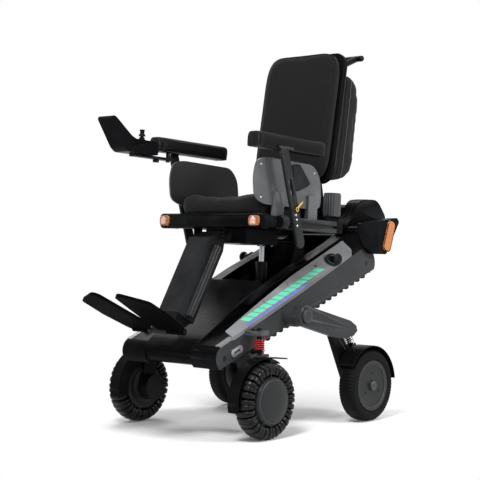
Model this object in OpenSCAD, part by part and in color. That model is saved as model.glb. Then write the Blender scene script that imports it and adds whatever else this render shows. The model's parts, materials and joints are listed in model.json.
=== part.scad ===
// Stair climbing wheelchair: a tilting seat on a chassis with two inclined rubber tracks,
// sprung roller wheels in front and driven wheels on folding arms behind.
// Everything is drawn in the chair frame: x to the chair's left, y to the back, z up,
// zero on the floor below the front axle. place() then moves the middle of the length to zero.
// Outlines are tables of shares: side views as (y, z), each times the length named with it.

/* [Wheels] */
// Outside diameter of all four wheels
wheel_d = 250; // [220:1:270]
// Width of a front roller wheel
front_wheel_w = 70; // [68:1:76]
// Width of a driven rear wheel
rear_wheel_w = 62; // [54:1:70]
// Front wheel centre from the middle line
front_wheel_x = 290; // [288:1:300]
// Rear wheel centre from the middle line
rear_wheel_x = 307; // [306:1:325]
// Rear axle behind the front axle
wheelbase = 529; // [522:1:535]
// Radius of the rollers of a front wheel
roller_r = 17; // [15:0.5:17]
// Rollers in each of the two rows of a front wheel
roller_n = 12; // [10:1:13]
// Radius of a roller's pin
roller_pin_r = 4; // [3:0.5:5]
// Radius of the hub drum between the rollers
front_hub_r = 62; // [50:1:66]
// Radius of the smooth cap on a front hub
hub_cap_r = 73; // [60:1:80]
// How far the hub cap stands out at its middle
hub_cap_h = 7; // [4:1:10]
// Radius where the rear tyre meets its hub
tyre_seat_r = 88; // [70:1:95]
// Depth of the round recess in a rear hub's face
hub_recess = 4; // [2:1:6]
// Radius of the wheel axles
axle_r = 9; // [7:0.5:12]

/* [Tracks] */
// Distance between the track's two axles
track_len = 822; // [800:1:845]
// Rise of the track to the back, in degrees
track_incline = 20.35; // [19:0.05:21.5]
// Front track axle ahead of the front wheels
idler_ahead = 108; // [90:1:120]
// Front track axle above the wheel axles
idler_up = 138; // [134:1:144]
// Outside radius of the belt at the front, without lugs
belt_r_front = 28; // [26:0.5:30]
// Outside radius of the belt at the back, without lugs
belt_r_rear = 42.5; // [40:0.5:44]
// Inner edge of the belt from the middle line
belt_x = 132; // [128:1:133]
// Width of the belt
belt_w = 72; // [60:1:72]
// Thickness of the belt
belt_t = 7; // [5:0.5:8]
// Height of the lugs
lug_h = 9; // [7:0.5:9.5]
// Spacing of the lugs on the straight runs
lug_pitch = 35; // [30:1:50]
// Length of a lug at its foot
lug_foot = 20; // [14:1:24]
// Length of a lug at its top
lug_top = 11; // [8:1:13]
// Lugs on each end of the loop
end_lug_n = 3; // [2:1:3]
// Radius of the track axles
track_axle_r = 9; // [7:0.5:12]

/* [Chassis] */
// Half width of the body shell
shell_x = 110; // [100:1:112]
// Wall of the body shell
shell_wall = 5; // [3:0.5:6]
// Thickness of the shell's wings over the belts
wing_t = 4; // [3:0.5:5]
// Clearance between the lugs and the wings
wing_gap = 4; // [3:0.5:6]
// Outer edge of the nose wings from the middle line
wing_x = 192; // [186:1:196]
// Inner face of a side plate from the middle line
plate_x = 206; // [205:1:208]
// Thickness of a side plate
plate_t = 7; // [5:0.5:8]
// Radius of the tubes that tie a side plate to the shell
tie_r = 12; // [8:1:14]
// Slope of the light cover across, in degrees
cover_slope = 40; // [35:1:45]
// Rise of the cover's lower edge, in degrees
cover_pitch = 21.4; // [20:0.1:23]
// Length of the light cover along its lower edge
cover_len = 720; // [650:1:740]
// Thickness of the light cover
cover_t = 4; // [3:0.5:5]
// Height of the cover's front corner above the front track axle
cover_up = 64.5; // [63:0.5:70]
// Cover's front corner behind the front track axle
cover_back = 40; // [30:1:60]
// Width of the ledges over the belts behind the hood
ledge_w = 46; // [40:1:46]
// Thickness of the light strip round the nose
strip_t = 6; // [4:0.5:8]
// Radius of the boss near the cover's back end
cover_boss_r = 26; // [15:1:30]
// How far that boss stands out
cover_boss_h = 12; // [6:1:16]
// Outer face of the tail cover from the middle line
tail_x = 216; // [215:1:225]
// Outer face of the tail humps from the middle line
hump_x = 156; // [140:1:170]
// Half width of the low bridge in the tail cover
bridge_x = 106; // [80:1:130]
// Thickness of a tail lamp pod
pod_t = 36; // [25:1:40]
// Thickness of a tail lamp lens
lens_t = 5; // [3:0.5:8]
// Width of the battery pack
battery_w = 180; // [140:1:200]
// Length of the battery pack
battery_len = 190; // [140:1:210]
// Height of the battery pack
battery_h = 56; // [40:1:60]
// Head radius of the cover screws
screw_r = 5; // [3:0.5:7]
// Height of the screw heads
screw_h = 3; // [2:0.5:4]
// Length of a track tensioner plate
tensioner_len = 58; // [45:1:70]
// Width of a track tensioner plate
tensioner_w = 26; // [18:1:30]
// Thickness of a track tensioner plate
tensioner_t = 5; // [3:0.5:7]

/* [Rear arms] */
// Arm pivot along the track from its front axle
arm_along = 348; // [330:1:370]
// Radius of the arm shaft
arm_shaft_r = 14; // [10:0.5:16]
// Radius of the arm boss on the side plate
arm_boss_r = 38; // [33:1:40]
// Outer face of the arm boss from the middle line
arm_boss_x = 250; // [246:1:252]
// Radius of the link's round end
link_eye_r = 36; // [30:1:38]
// Length of the link, pivot to tip
link_len = 290; // [280:1:296]
// Inner face of the link from the middle line
link_x = 264; // [262:1:266]
// Thickness of the link
link_t = 22; // [15:1:23]
// Radius of the cap on the link's pivot
link_cap_r = 24; // [15:1:28]
// Height of the cap on the link's pivot
link_cap_h = 8; // [4:1:10]
// Swing arm pivot behind the link's pivot
swing_back = 192; // [186:1:196]
// Swing arm pivot below the link's pivot
swing_down = 66; // [62:1:70]
// Inner face of the swing arm from the middle line
swing_x = 240; // [238:1:241]
// Thickness of the swing arm
swing_t = 22; // [16:1:22]
// Radius of the swing arm at its pivot
swing_eye_r = 23; // [18:1:26]
// Radius of the swing arm's hub motor
swing_hub_r = 44; // [35:1:50]
// Radius of the swing arm pin
swing_pin_r = 8; // [6:0.5:10]
// Upper end of the rear spring behind the link's pivot
shock_back = 266; // [262:1:270]
// Upper end of the rear spring below the link's pivot
shock_down = 50; // [46:1:54]
// Distance between the rear spring's two end points
shock_len = 96; // [90:1:104]
// Lean of the rear spring, in degrees
shock_lean = 26; // [22:0.5:30]
// Height of the spring cups
shock_cup_h = 15; // [10:1:18]
// Radius of the spring cups
shock_cup_r = 21; // [19:0.5:23]
// Radius of the damper rod
damper_r = 7; // [5:0.5:8]
// Bore of the upper cup round the damper rod
damper_bore_r = 12; // [10:0.5:13]
// Coil radius of all springs, to the wire's middle
coil_r = 16; // [15:0.5:17]
// Wire radius of all springs
wire_r = 2.6; // [1.5:0.1:3]
// Turns of a rear spring
rear_turns = 5; // [3:0.5:6]
// Turns of a front spring
front_turns = 5; // [3:0.5:6]
// Gap between a tyre and its fender
fender_gap = 11; // [8:0.5:20]
// Thickness of the fenders
fender_t = 4; // [3:0.5:5]
// Depth of a fender's inner flange
fender_flange = 42; // [30:1:50]

/* [Front wheels' guides] */
// Spring guide behind the front axle
guide_back = 12; // [8:1:20]
// Spring guide from the middle line
guide_x = 256; // [252:1:258]
// Radius of the guide rod
guide_r = 8; // [6:0.5:9]
// Underside of the spring bracket above the wheel axles
guide_up = 207; // [200:1:215]
// Thickness of the spring bracket
guide_t = 16; // [12:1:20]
// Half width of the spring bracket
guide_half = 22; // [18:1:26]
// Seat of the front spring above the wheel axles
spring_seat_up = 146; // [144:1:150]
// Radius of the front hub motor
motor_r = 45; // [35:1:48]
// Length of the front hub motor
motor_len = 42; // [30:1:50]
// Gap between a front wheel and its carrier
carrier_gap = 6; // [4:0.5:7]
// Thickness of the carrier plate
carrier_t = 8; // [6:0.5:10]

/* [Seat] */
// Front seat bar behind the front axle
seat_back = 70; // [60:1:80]
// Front seat bar above the wheel axles
seat_up = 577; // [570:1:600]
// Backward slope of the seat, in degrees
seat_rake = 3.5; // [1:0.1:5]
// Height of the front bar
bar_h = 52; // [46:1:56]
// Depth of the front bar
bar_d = 44; // [36:1:48]
// Half length of the front bar
bar_half = 232; // [225:1:238]
// Rounding of the front bar
bar_round = 16; // [8:1:18]
// Radius of the round pods between the bar and the rails
bar_pod_r = 22; // [16:1:24]
// Length of the round pods
bar_pod_len = 118; // [100:1:120]
// Inner face of a side rail from the middle line
rail_x = 200; // [199:1:202]
// Width of a side rail
rail_w = 36; // [32:1:36]
// Height of a side rail
rail_h = 40; // [36:1:42]
// Width of the rail slots
slot_w = 9; // [6:0.5:11]
// Depth of the rail slots
slot_d = 7; // [4:0.5:9]
// Length of a side rail
rail_len = 277; // [265:1:285]
// Thickness of the seat pan and of the tray
pan_t = 3; // [2:0.5:4]
// Depth of the rear cross beam
beam_d = 34; // [28:1:40]
// Half width of the seat cushion
cushion_x = 186; // [170:1:186]
// Front of the seat cushion ahead of the bar's middle
cushion_ahead = 8; // [0:1:12]
// Length of the seat cushion
cushion_len = 388; // [360:1:390]
// Height of the seat cushion at its middle
cushion_h = 47; // [40:1:54]
// Extra height of the cushion's side bolsters
bolster_h = 24; // [10:1:30]
// Half width of the control box
box_x = 95; // [80:1:110]
// Length of the control box
box_len = 170; // [150:1:175]
// Height of the control box
box_h = 52; // [40:1:56]
// Thickness of a marker lamp
marker_t = 8; // [5:0.5:10]
// Width of a marker lamp
marker_w = 46; // [30:1:50]
// Height of a marker lamp
marker_h = 34; // [24:1:36]
// Marker lamp centre from the middle line
marker_x = 205; // [190:1:215]
// Outer face of a side panel from the middle line
panel_x = 196; // [195:1:197]
// Thickness of a side panel
panel_t = 6; // [4:0.5:7]
// Length of a side panel
panel_len = 380; // [360:1:390]
// Seat tilt pivot behind the front bar
pivot_back = 372; // [365:1:375]
// Seat tilt pivot below the front bar
pivot_down = 52; // [48:1:56]
// Radius of the seat tilt pin
pivot_r = 10; // [8:0.5:12]
// Half width between the mast plates
mast_x = 72; // [60:1:80]
// Thickness of the mast plates and of the seat lugs
mast_t = 8; // [6:0.5:10]
// Upper actuator pin behind the front bar
rod_pin_back = 262; // [255:1:270]
// Upper actuator pin below the front bar
rod_pin_down = 62; // [58:1:66]
// Radius of the actuator pins
act_pin_r = 6; // [5:0.5:7]
// Radius of the actuator tube
tube_r = 22; // [18:1:24]
// Radius of the actuator rod
rod_r = 10; // [8:0.5:11]
// Length of the actuator tube above its pin
tube_len = 100; // [90:1:105]

/* [Armrests] */
// Armrest pivot behind the front bar
arm_back = 136; // [130:1:150]
// Inner face of an armrest post from the middle line
post_x = 250; // [248:1:252]
// Thickness of an armrest post
post_t = 8; // [6:0.5:10]
// Width of an armrest post
post_w = 40; // [30:1:44]
// Lean of the posts, in degrees
post_lean = 19; // [15:0.5:22]
// Post length above its pivot
post_len = 243; // [239:1:247]
// Post length below its pivot
post_tail = 66; // [40:1:72]
// Radius of the armrest pins
post_pin_r = 6; // [5:0.5:8]
// Armrest pad length
pad_len = 352; // [330:1:365]
// Armrest pad width
pad_w = 46; // [40:1:46]
// Armrest pad height
pad_h = 34; // [24:1:38]
// Thickness of the pad's base
pad_base_t = 10; // [8:1:14]
// Armrest pad centre from the middle line
pad_x = 226; // [225:1:230]
// Front end of a pad ahead of the armrest pivot
pad_ahead = 208; // [200:1:210]
// Underside of the pad's base above the armrest pivot
pad_up = 241; // [238:1:245]
// Fall of the pads to the back, in degrees
pad_fall = 0; // [-1:0.1:2]
// Length of a release lever
lever_len = 30; // [22:1:34]
// Radius of a release lever
lever_r = 5; // [4:0.5:6]
// Radius of the release lever's pin
lever_pin_r = 4; // [3:0.5:5]

/* [Backrest] */
// Recline axis behind the front bar
recline_back = 463; // [458:1:470]
// Recline axis above the front bar
recline_up = 61; // [58:1:66]
// Lean of the backrest, in degrees
back_lean = 11.3; // [8:0.1:14]
// Half width of the backrest
back_x = 169; // [150:1:172]
// Height of the backrest cushion
back_h = 484; // [450:1:500]
// Thickness of the backrest cushion
back_t = 44; // [36:1:50]
// Front of the backrest cushion ahead of the recline axis
back_ahead = 100; // [97:1:103]
// Lower edge of the cushion above the recline axis
back_up = 95; // [90:1:105]
// Thickness of the backrest shell
back_shell_t = 17; // [12:1:17]
// Half width of the backrest spine
spine_x = 108; // [90:1:112]
// Radius of the recline shaft
recline_r = 9; // [7:0.5:10]
// Radius of a recline motor
recline_motor_r = 30; // [24:1:32]
// Height of a recline motor
recline_motor_h = 84; // [78:1:90]
// Recline motor centre from the middle line
recline_motor_x = 152; // [150:1:156]
// Radius of the push frame's tubes
tube_rad = 11; // [9:0.5:12]
// Push tube from the middle line
tube_x = 150; // [140:1:152]
// Half length of the push bar
push_x = 172; // [165:1:190]
// Push bar behind the tubes
push_back = 65; // [50:1:80]
// Push bar above the tube bends
push_up = 41; // [20:1:45]
// Half width of the bag
bag_x = 138; // [120:1:138]

/* [Legrest] */
// Legrest axis behind the front axle
leg_back = 66; // [62:1:70]
// Legrest axis above the wheel axles
leg_up = 525; // [520:1:526]
// Lean of the legrest column, in degrees
leg_lean = 31.5; // [28:0.5:34]
// Half width of the column
leg_x = 45; // [40:1:50]
// Length of the column
leg_len = 320; // [300:1:330]
// Radius of the legrest pin
leg_pin_r = 8; // [6:0.5:10]
// Width and depth of the column's side rails
leg_rail_w = 18; // [16:1:22]
// Footplate axis below the column's top axis
foot_down = 392; // [385:1:400]
// Footplate axis ahead of the column's top axis
foot_ahead = 62; // [60:1:66]
// Pitch of the footplates, in degrees
foot_pitch = 28; // [20:0.5:32]
// Length of a footplate
foot_len = 268; // [240:1:285]
// Thickness of a footplate
foot_t = 11; // [8:0.5:12]
// Rounding of a footplate's corners
foot_round = 24; // [10:1:28]
// Radius of the footplate pin
foot_pin_r = 6; // [5:0.5:8]
// Radius of a footplate's knuckle
foot_knuckle_r = 11; // [9:0.5:12]

/* [Controller] */
// Half width of the controller pod
pod_half = 34; // [28:1:38]
// Length of the controller pod
control_len = 250; // [230:1:260]
// Bracket pivot ahead of the armrest pivot
bracket_ahead = 140; // [135:1:145]
// Bracket's underside below the pad's base
bracket_drop = 30; // [22:1:36]
// Length of the bracket
bracket_len = 175; // [160:1:185]
// Width of the bracket
bracket_w = 26; // [20:1:30]
// Thickness of the bracket
bracket_t = 10; // [8:0.5:12]
// Radius of the bracket's pin
bracket_pin_r = 7; // [5:0.5:8]
// Radius of the joystick's knob
knob_r = 13; // [9:0.5:14]
// Height of the joystick above its axes
stick_h = 50; // [40:1:55]
// Radius of the joystick's shaft
stick_r = 4; // [3:0.5:5]
// Outside radius of the joystick's gimbal ring
gimbal_r = 17; // [14:0.5:18]
// Radius of the gimbal's pins
gimbal_pin_r = 2; // [1.5:0.1:2.5]

/* [Fits] */
// Radial clearance of every running pin and shaft
run_gap = 0.05; // [0.02:0.01:0.1]
// Reach of the eased corners
ease = 15; // [5:1:20]
// Gap between pieces that move past each other
move_gap = 0.6; // [0.4:0.1:1]
// Radial clearance of the actuator rod's eye
eye_gap = 1.2; // [1:0.1:2]
// Overrun of every cut
cut_over = 2; // [1:0.5:3]

/* [Hidden] */
$fn = 64;
// How far a straight side sinks into the round that it blends with
blend_sink = run_gap / 2;
ease_big = 2 * ease;
ease_small = ease / 2;
wheel_r = wheel_d / 2;
axle_z = wheel_r;
idler_y = -idler_ahead;
idler_z = axle_z + idler_up;
sprocket_y = idler_y + track_len * cos(track_incline);
sprocket_z = idler_z + track_len * sin(track_incline);
plate_out = plate_x + plate_t;
rim_front = belt_r_front + lug_h + wing_gap;
rim_rear = belt_r_rear + lug_h + wing_gap;
arm_y = idler_y + arm_along * cos(track_incline);
arm_z = idler_z + arm_along * sin(track_incline);
swing_y = arm_y + swing_back;
swing_z = arm_z - swing_down;
shock_y = arm_y + shock_back;
shock_z = arm_z - shock_down;
seat_y = seat_back;
seat_z = axle_z + seat_up;
function seat_pt(y, z) = [seat_y + y * cos(seat_rake) + z * sin(seat_rake),
                          seat_z - y * sin(seat_rake) + z * cos(seat_rake)];
pivot = seat_pt(pivot_back, -pivot_down);
rod_pin = seat_pt(rod_pin_back, -rod_pin_down);
// Actuator's lower pin from the front track axle, in shares of the track length
tube_pin_share = [0.5231, 0.2372];
tube_pin = [idler_y, idler_z] + tube_pin_share * track_len;
act_vec = rod_pin - tube_pin;
act_len = norm(act_vec);
act_lean = atan2(act_vec[0], act_vec[1]);
recline = seat_pt(recline_back, recline_up);
arm_pivot = seat_pt(arm_back, 0);
leg_y = leg_back;
leg_z = axle_z + leg_up;
foot_y = leg_y - foot_ahead * cos(leg_lean) - foot_down * sin(leg_lean);
foot_z = leg_z + foot_ahead * sin(leg_lean) - foot_down * cos(leg_lean);

// Side outline of the body shell, from the front track axle, in shares of the track length
shell_shares = [
  [-0.0389, -0.028], [-0.0535, -0.0012], [-0.0487, 0.0328], [-0.0146, 0.0596],
  [0.0584, 0.0998], [0.1314, 0.1399], [0.2044, 0.1849], [0.2774, 0.2397], [0.3358, 0.2883],
  [0.3552, 0.2908], [0.3674, 0.2689], [0.3832, 0.2737], [0.5134, 0.3285], [0.6387, 0.3735],
  [0.7981, 0.438], [0.8686, 0.4708], [0.8905, 0.4878], [1.1655, 0.4878], [1.1727, 0.4586],
  [1.163, 0.4173], [1.1046, 0.3686], [0.0097, -0.0414]];
// Outline of the hollow in the shell, same shares
hollow_shares = [
  [0.0195, -0.0207], [-0.0243, -0.0109], [-0.0365, 0.0036], [-0.0316, 0.028],
  [-0.0049, 0.0474], [0.0584, 0.0839], [0.1314, 0.1229], [0.253, 0.2105], [0.3358, 0.2664],
  [0.3358, 0.556], [0.8564, 0.556], [0.8564, 0.4708], [1.1484, 0.4708], [1.1509, 0.4392],
  [1.0985, 0.382]];
// Outline of the strip over a belt behind the hood, same shares
ledge_shares = [
  [0.2421, 0.1995], [0.3832, 0.2737], [0.5134, 0.3285], [0.6387, 0.3735], [0.7981, 0.438],
  [0.8905, 0.4781], [0.8905, 0.472], [0.7981, 0.4319], [0.6387, 0.3674], [0.5134, 0.3224],
  [0.3832, 0.2676], [0.2421, 0.1934]];
// Outline of the deck under the tail cover, same shares
deck_shares = [
  [0.9027, 0.4781], [1.1679, 0.4781], [1.1679, 0.4878], [0.9027, 0.4878]];
// Part of the rim under the wings, along and across the track, same shares
wing_shares = [
  [-0.1095, -0.0146], [0, -0.0073], [0.2616, 0.0243], [0.2616, 0.1338], [-0.1095, 0.1338]];
// Part of the loop's rim that the light nose strip covers, same shares
strip_shares = [
  [-0.0085, 0.0243], [0.0912, 0.0243], [0.0912, 0.1338], [-0.0085, 0.1338]];
// Part of the rim where the nose reaches out to the side plates, same shares
nose_shares = [
  [-0.1095, -0.0414], [-0.0097, -0.0146], [-0.0097, 0.1338], [-0.1095, 0.1338]];
// Part of the loop that a side plate covers, same shares
plate_shares = [
  [-0.1825, -0.0268], [1.3504, -0.0535], [1.3504, 0.1825], [-0.1825, 0.1825]];
// Places of the tie tubes along the track, in shares of the track length
tie_shares = [0.16, 0.55, 0.78];
// Outline of the light cover, across and along, in shares of its length
cover_shares = [
  [0, 0], [0, 0.9583], [-0.0278, 0.9917], [-0.0944, 1], [-0.0903, 0.5556],
  [-0.0736, 0.3056], [-0.0472, 0]];
// Cover's boss across and along, in shares of the cover's length
cover_boss_share = [-0.035, 0.83];
// Cover screws along the cover, in shares of its length
screw_shares = [0.3, 0.5, 0.72];
// Cover screws across, in shares of the cover's length
screw_across_share = 0.06;
// Side outline of the tail's humps, in shares of the track length
hump_shares = [
  [0.8686, 0.4881], [0.8832, 0.5146], [0.9367, 0.5584], [0.983, 0.6314], [1.1217, 0.6314],
  [1.1849, 0.5572], [1.1873, 0.5195], [1.1752, 0.4881]];
// Side outline of the low bridge between the humps, same shares
bridge_shares = [
  [0.9294, 0.4881], [0.9757, 0.6095], [1.1265, 0.6095], [1.1655, 0.5511], [1.1679, 0.4881]];
// Side outline of the lower shoulders outside the humps, same shares
shoulder_shares = [
  [0.8686, 0.4881], [0.8808, 0.5073], [0.9708, 0.5316], [1.1046, 0.5462], [1.1533, 0.5316],
  [1.1679, 0.4881]];
// Side outline of a tail lamp pod, same shares
pod_shares = [
  [0.8589, 0.4927], [0.8759, 0.5243], [1.1144, 0.5487], [1.1314, 0.5292], [1.0292, 0.3856],
  [0.944, 0.3881], [0.8881, 0.427]];
// Plan of a lamp pod: out in shares of its thickness, along in shares of the track length
pod_plan_shares = [[0, 0.8491], [0.18, 0.8589], [1.02, 0.9708], [1.02, 1.1533], [0, 1.1533]];
// Middle of a tail lamp lens, same shares
lens_share = [1.0462, 0.4672];
// Width and length of a lens, same shares
lens_size_share = [0.05596, 0.14355];
lens_w = lens_size_share[0] * track_len;
lens_len = lens_size_share[1] * track_len;
// Lean of the lens, in degrees
lens_lean = -21;
// Place of the battery on the floor, same shares
battery_share = [0.0852, 0.0043];
// Slope of the shell's floor, in degrees
floor_slope = 20.46;
// Side outline of a mast plate's foot, same shares
mast_shares = [
  [0.5523, 0.1785], [0.764, 0.2574], [0.764, 0.2822], [0.5645, 0.2068]];
// Foot of the actuator's bracket, same shares
clevis_shares = [
  [0.4866, 0.1539], [0.5596, 0.1811], [0.5596, 0.2032], [0.4866, 0.1752]];
// Side outline of a folding link, from its pivot, in shares of its length
link_shares = [
  [0.0138, 0.1224], [0.8621, -0.1034], [0.9793, -0.1724], [1, -0.2345], [0.9241, -0.2897],
  [0.7931, -0.3103], [0.6069, -0.2966], [-0.0276, -0.1207]];
// Bracket below the spring, from the spring's upper end, in shares of the link's length
seat_tab_shares = [
  [-0.2, -0.331], [0.0828, -0.3448], [0.2, -0.2897], [0.1724, -0.3724], [0.069, -0.5172],
  [-0.069, -0.6034]];
// Fender's fixing bosses from the rear axle, in shares of the wheel's diameter
fender_boss_shares = [
  [-0.192, 0.452], [0.032, 0.458]];
// Start and sweep of the front fender round its wheel, from the back, in degrees
front_fender_arc = [58, 134];
// Start and sweep of the rear fender round its wheel, from the back, in degrees
rear_fender_arc = [6, 140];
// Width of the front fender, as a share of its wheel's width
front_fender_share = 0.62;
// Outline of the front fender's flat tail, from the axle, in shares of the wheel's diameter
fender_tail_shares = [
  [-0.02, 0.532], [0.096, 0.532], [0.448, 0.496], [0.448, 0.512], [0.08, 0.5496],
  [-0.02, 0.5424]];
// Side outline of a side panel, from the front bar, in shares of its length
panel_shares = [
  [-0.0421, 0.2], [-0.0684, 0.3947], [-0.0316, 0.5368], [0.0947, 0.5684], [0.7632, 0.5579],
  [0.8684, 0.4526], [0.8947, 0.2895], [0.8842, 0.1737], [0.7895, 0.1526], [0.0789, 0.1526]];
// Where a side panel's two tabs start, in shares of its length
tab_shares = [0.2, 0.68];
// Length and height of a tab, same shares
tab_size_shares = [0.13, 0.22];
// Outline of a recline bracket, in shares of the recline axis' distance
recline_shares = [
  [0.8639, -0.0346], [1.0281, -0.0346], [1.067, 0.0259], [1.067, 0.095], [0.933, 0.095],
  [0.8639, 0.0389]];
// Lower end of a recline motor, same shares
recline_foot_share = 0.0955;
// Side outline of the back's spine, in shares of the back's reach and height
spine_shares = [[-0.11, -0.0227], [0.11, -0.0227], [0.11, 0.0537], [-0.2, 0.2025], [-0.39, 0.2645],
  [-0.39, 0.3926], [-0.48, 0.3926], [-0.48, 0.2025]];
// Lower end and bend of the push tubes above the recline axis, same shares
tube_end_shares = [0.345, 1.12];
// Heights of the tube clamps, same shares
clamp_shares = [0.43, 0.953];
// Side outline of the bag, from the shell's rear face, in shares of the back's height
bag_shares = [
  [0, 0.2686], [0.0583, 0.2355], [0.2029, 0.2727], [0.2855, 0.3471], [0.3103, 0.4339],
  [0.2938, 0.8884], [0.2401, 1.0248], [0.1616, 1.0702], [0, 1.0702]];
// Side outline of the legrest column, from its axis, in shares of its length
column_shares = [
  [-0.175, -0.1125], [-0.175, -1], [0.0875, -1], [0.0938, -0.125], [0.0437, 0.0187],
  [-0.0437, 0.0187]];
// Side outline of the column's foot, same shares
column_foot_shares = [
  [-0.1719, -0.9938], [0.0625, -0.9938], [0.0125, -1.0781], [-0.1562, -1.2375],
  [-0.1875, -1.25], [-0.2219, -1.2375], [-0.1688, -1.0781]];
// Ends of the column's side rails, same shares
leg_rail_shares = [-0.97, -0.14];
// Corner middles of a footplate, across and forward, in shares of its length
foot_shares = [
  [0.1194, 0.153], [0.2239, 0.9104], [0.4851, 0.7649], [0.4776, 0.4403], [0.3881, 0.097]];
// Ends of a footplate's knuckle, same shares
knuckle_shares = [0.2, 0.43];
// Side outline of the controller pod, from the bracket's pivot, in shares of its length
pod_outline_shares = [
  [-0.328, 0.04], [-0.32, 0.168], [-0.376, 0.228], [-0.752, 0.228], [-0.84, 0.264],
  [-1.144, 0.488], [-1.2, 0.496], [-1.232, 0.456], [-0.976, 0.096], [-0.896, 0.04]];
// Place of the joystick on the pod: along and up, same shares
stick_share = [-0.52, 0.184];

lug_lean = asin((belt_r_rear - belt_r_front) / track_len);
run_len = track_len * cos(lug_lean);
run_n = floor(run_len / lug_pitch);
tail_end = max([for (p = hump_shares) p[0]]) * track_len + idler_y;
foot_end = max([for (p = foot_shares) p[1]]) * foot_len + foot_round;
nose_end = foot_y - foot_end * cos(foot_pitch) - foot_t / 2 * sin(foot_pitch);
mid_y = (tail_end + nose_end) / 2;

// Moves the middle of the length over zero
module place() {
  translate([0, -mid_y, 0]) children();
}

// Side views drawn as (y, z), made solid from x on over a width
module along_x(x, w) {
  translate([x, 0, 0]) rotate([90, 0, 90]) linear_extrude(w) children();
}

// Front views drawn as (x, z), made solid from y on over a depth
module along_y(y, w) {
  translate([0, y + w, 0]) rotate([90, 0, 0]) linear_extrude(w) children();
}

// A round bar across the chair
module rod_x(y, z, r, x, w) {
  translate([x, y, z]) rotate([0, 90, 0]) cylinder(h = w, r = r);
}

module both() {
  children();
  mirror([1, 0, 0]) children();
}

module side(s) {
  if (s > 0) children();
  if (s < 0) mirror([1, 0, 0]) children();
}

// A closed outline with each corner eased over a reach
function eased(p, reach) = [for (i = [0 : len(p) - 1])
  let (b = p[i], before = p[(i + len(p) - 1) % len(p)] - b, after = p[(i + 1) % len(p)] - b,
       run = min(reach, norm(before) * 0.45, norm(after) * 0.45),
       a = b + before * run / norm(before), c = b + after * run / norm(after))
  for (t = [0 : 0.25 : 1]) (1 - t) * (1 - t) * a + 2 * t * (1 - t) * b + t * t * c];

module outline(shares, size, reach = 0) {
  flat = [for (p = shares) p * size];
  polygon(reach > 0 ? eased(flat, reach) : flat);
}

// A flat bar with two round ends
module capsule(a, b, ra, rb) {
  span = b - a;
  turn = atan2(span[1], span[0]);
  lean = asin((rb - ra) / norm(span));
  up = [cos(turn + 90 + lean), sin(turn + 90 + lean)];
  down = [cos(turn - 90 - lean), sin(turn - 90 - lean)];
  translate(a) circle(ra);
  translate(b) circle(rb);
  polygon([a + (ra - blend_sink) * down, b + (rb - blend_sink) * down,
           b + (rb - blend_sink) * up, a + (ra - blend_sink) * up]);
}

// A rectangle with round corners about the middle
module round_rect(w, h, r) {
  square([w - 2 * r, h - 2 * blend_sink], center = true);
  square([w - 2 * blend_sink, h - 2 * r], center = true);
  for (x = [-1, 1], y = [-1, 1]) translate([x * (w / 2 - r), y * (h / 2 - r)]) circle(r);
}

// A convex outline of corner middles, rounded out by a radius, drawn against the clock
module round_poly(points, r) {
  n = len(points);
  polygon(points);
  for (i = [0 : n - 1]) {
    a = points[i];
    b = points[(i + 1) % n];
    out = (r - blend_sink) * [b[1] - a[1], a[0] - b[0]] / norm(b - a);
    translate(a) circle(r);
    polygon([a, a + out, b + out, b]);
  }
}

module in_track() {
  translate([0, idler_y, idler_z]) rotate([track_incline, 0, 0]) children();
}

module at_idler() {
  translate([0, idler_y, idler_z]) children();
}

module in_seat() {
  translate([0, seat_y, seat_z]) rotate([-seat_rake, 0, 0]) children();
}

module in_back() {
  translate([0, recline[0], recline[1]]) rotate([-back_lean, 0, 0]) children();
}

module in_leg() {
  translate([0, leg_y, leg_z]) rotate([-leg_lean, 0, 0]) children();
}

module in_arm() {
  in_seat() translate([0, arm_back, 0]) children();
}

// The track's outline in its own plane, along and across
module loop(front_r, rear_r) {
  capsule([0, 0], [track_len, 0], front_r, rear_r);
}

module lug(p, turn) {
  sink = belt_t / 2;
  translate(p) rotate(turn)
    polygon([[-lug_foot / 2, -sink], [lug_foot / 2, -sink], [lug_top / 2, lug_h], [-lug_top / 2, lug_h]]);
}

module lugs() {
  for (i = [0 : run_n - 1]) {
    along = run_len * (i + 0.5) / run_n;
    rise = [cos(lug_lean), sin(lug_lean)];
    fall = [cos(lug_lean), -sin(lug_lean)];
    lug(belt_r_front * [-sin(lug_lean), cos(lug_lean)] + along * rise, lug_lean);
    lug(belt_r_front * [-sin(lug_lean), -cos(lug_lean)] + along * fall, 180 - lug_lean);
  }
  for (i = [0 : end_lug_n - 1]) {
    turn = 180 * (i + 0.5) / end_lug_n;
    lug([track_len, 0] + belt_r_rear * [sin(turn), cos(turn)], -turn);
    lug(belt_r_front * [-sin(turn), cos(turn)], turn);
  }
}

// Spring wire's middle line: up from the foot, a bend, the turns, a bend and up to the top
function wire_line(turns, h) =
  let (bend = 3 * wire_r,
       foot = 2 * wire_r,
       from = foot + bend,
       rise = h - 2 * from,
       n = 8 * turns,
       sweep = 360 * turns,
       part = bend / coil_r * 180 / PI)
  concat(
    [[0, 0], [0, foot]],
    [for (k = [1, 2]) [part * (1 - cos(30 * k)), foot + bend * sin(30 * k)]],
    [for (i = [0 : n]) [part + sweep * i / n, from + rise * i / n]],
    [for (k = [2, 1]) [2 * part + sweep - part * (1 - cos(30 * k)), h - foot - bend * sin(30 * k)]],
    [[2 * part + sweep, h - foot], [2 * part + sweep, h]]);

function wire_points(turns, h) =
  [for (q = wire_line(turns, h)) [coil_r * cos(q[0]), coil_r * sin(q[0]), q[1]]];

function unit(v) = v / norm(v);

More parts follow.
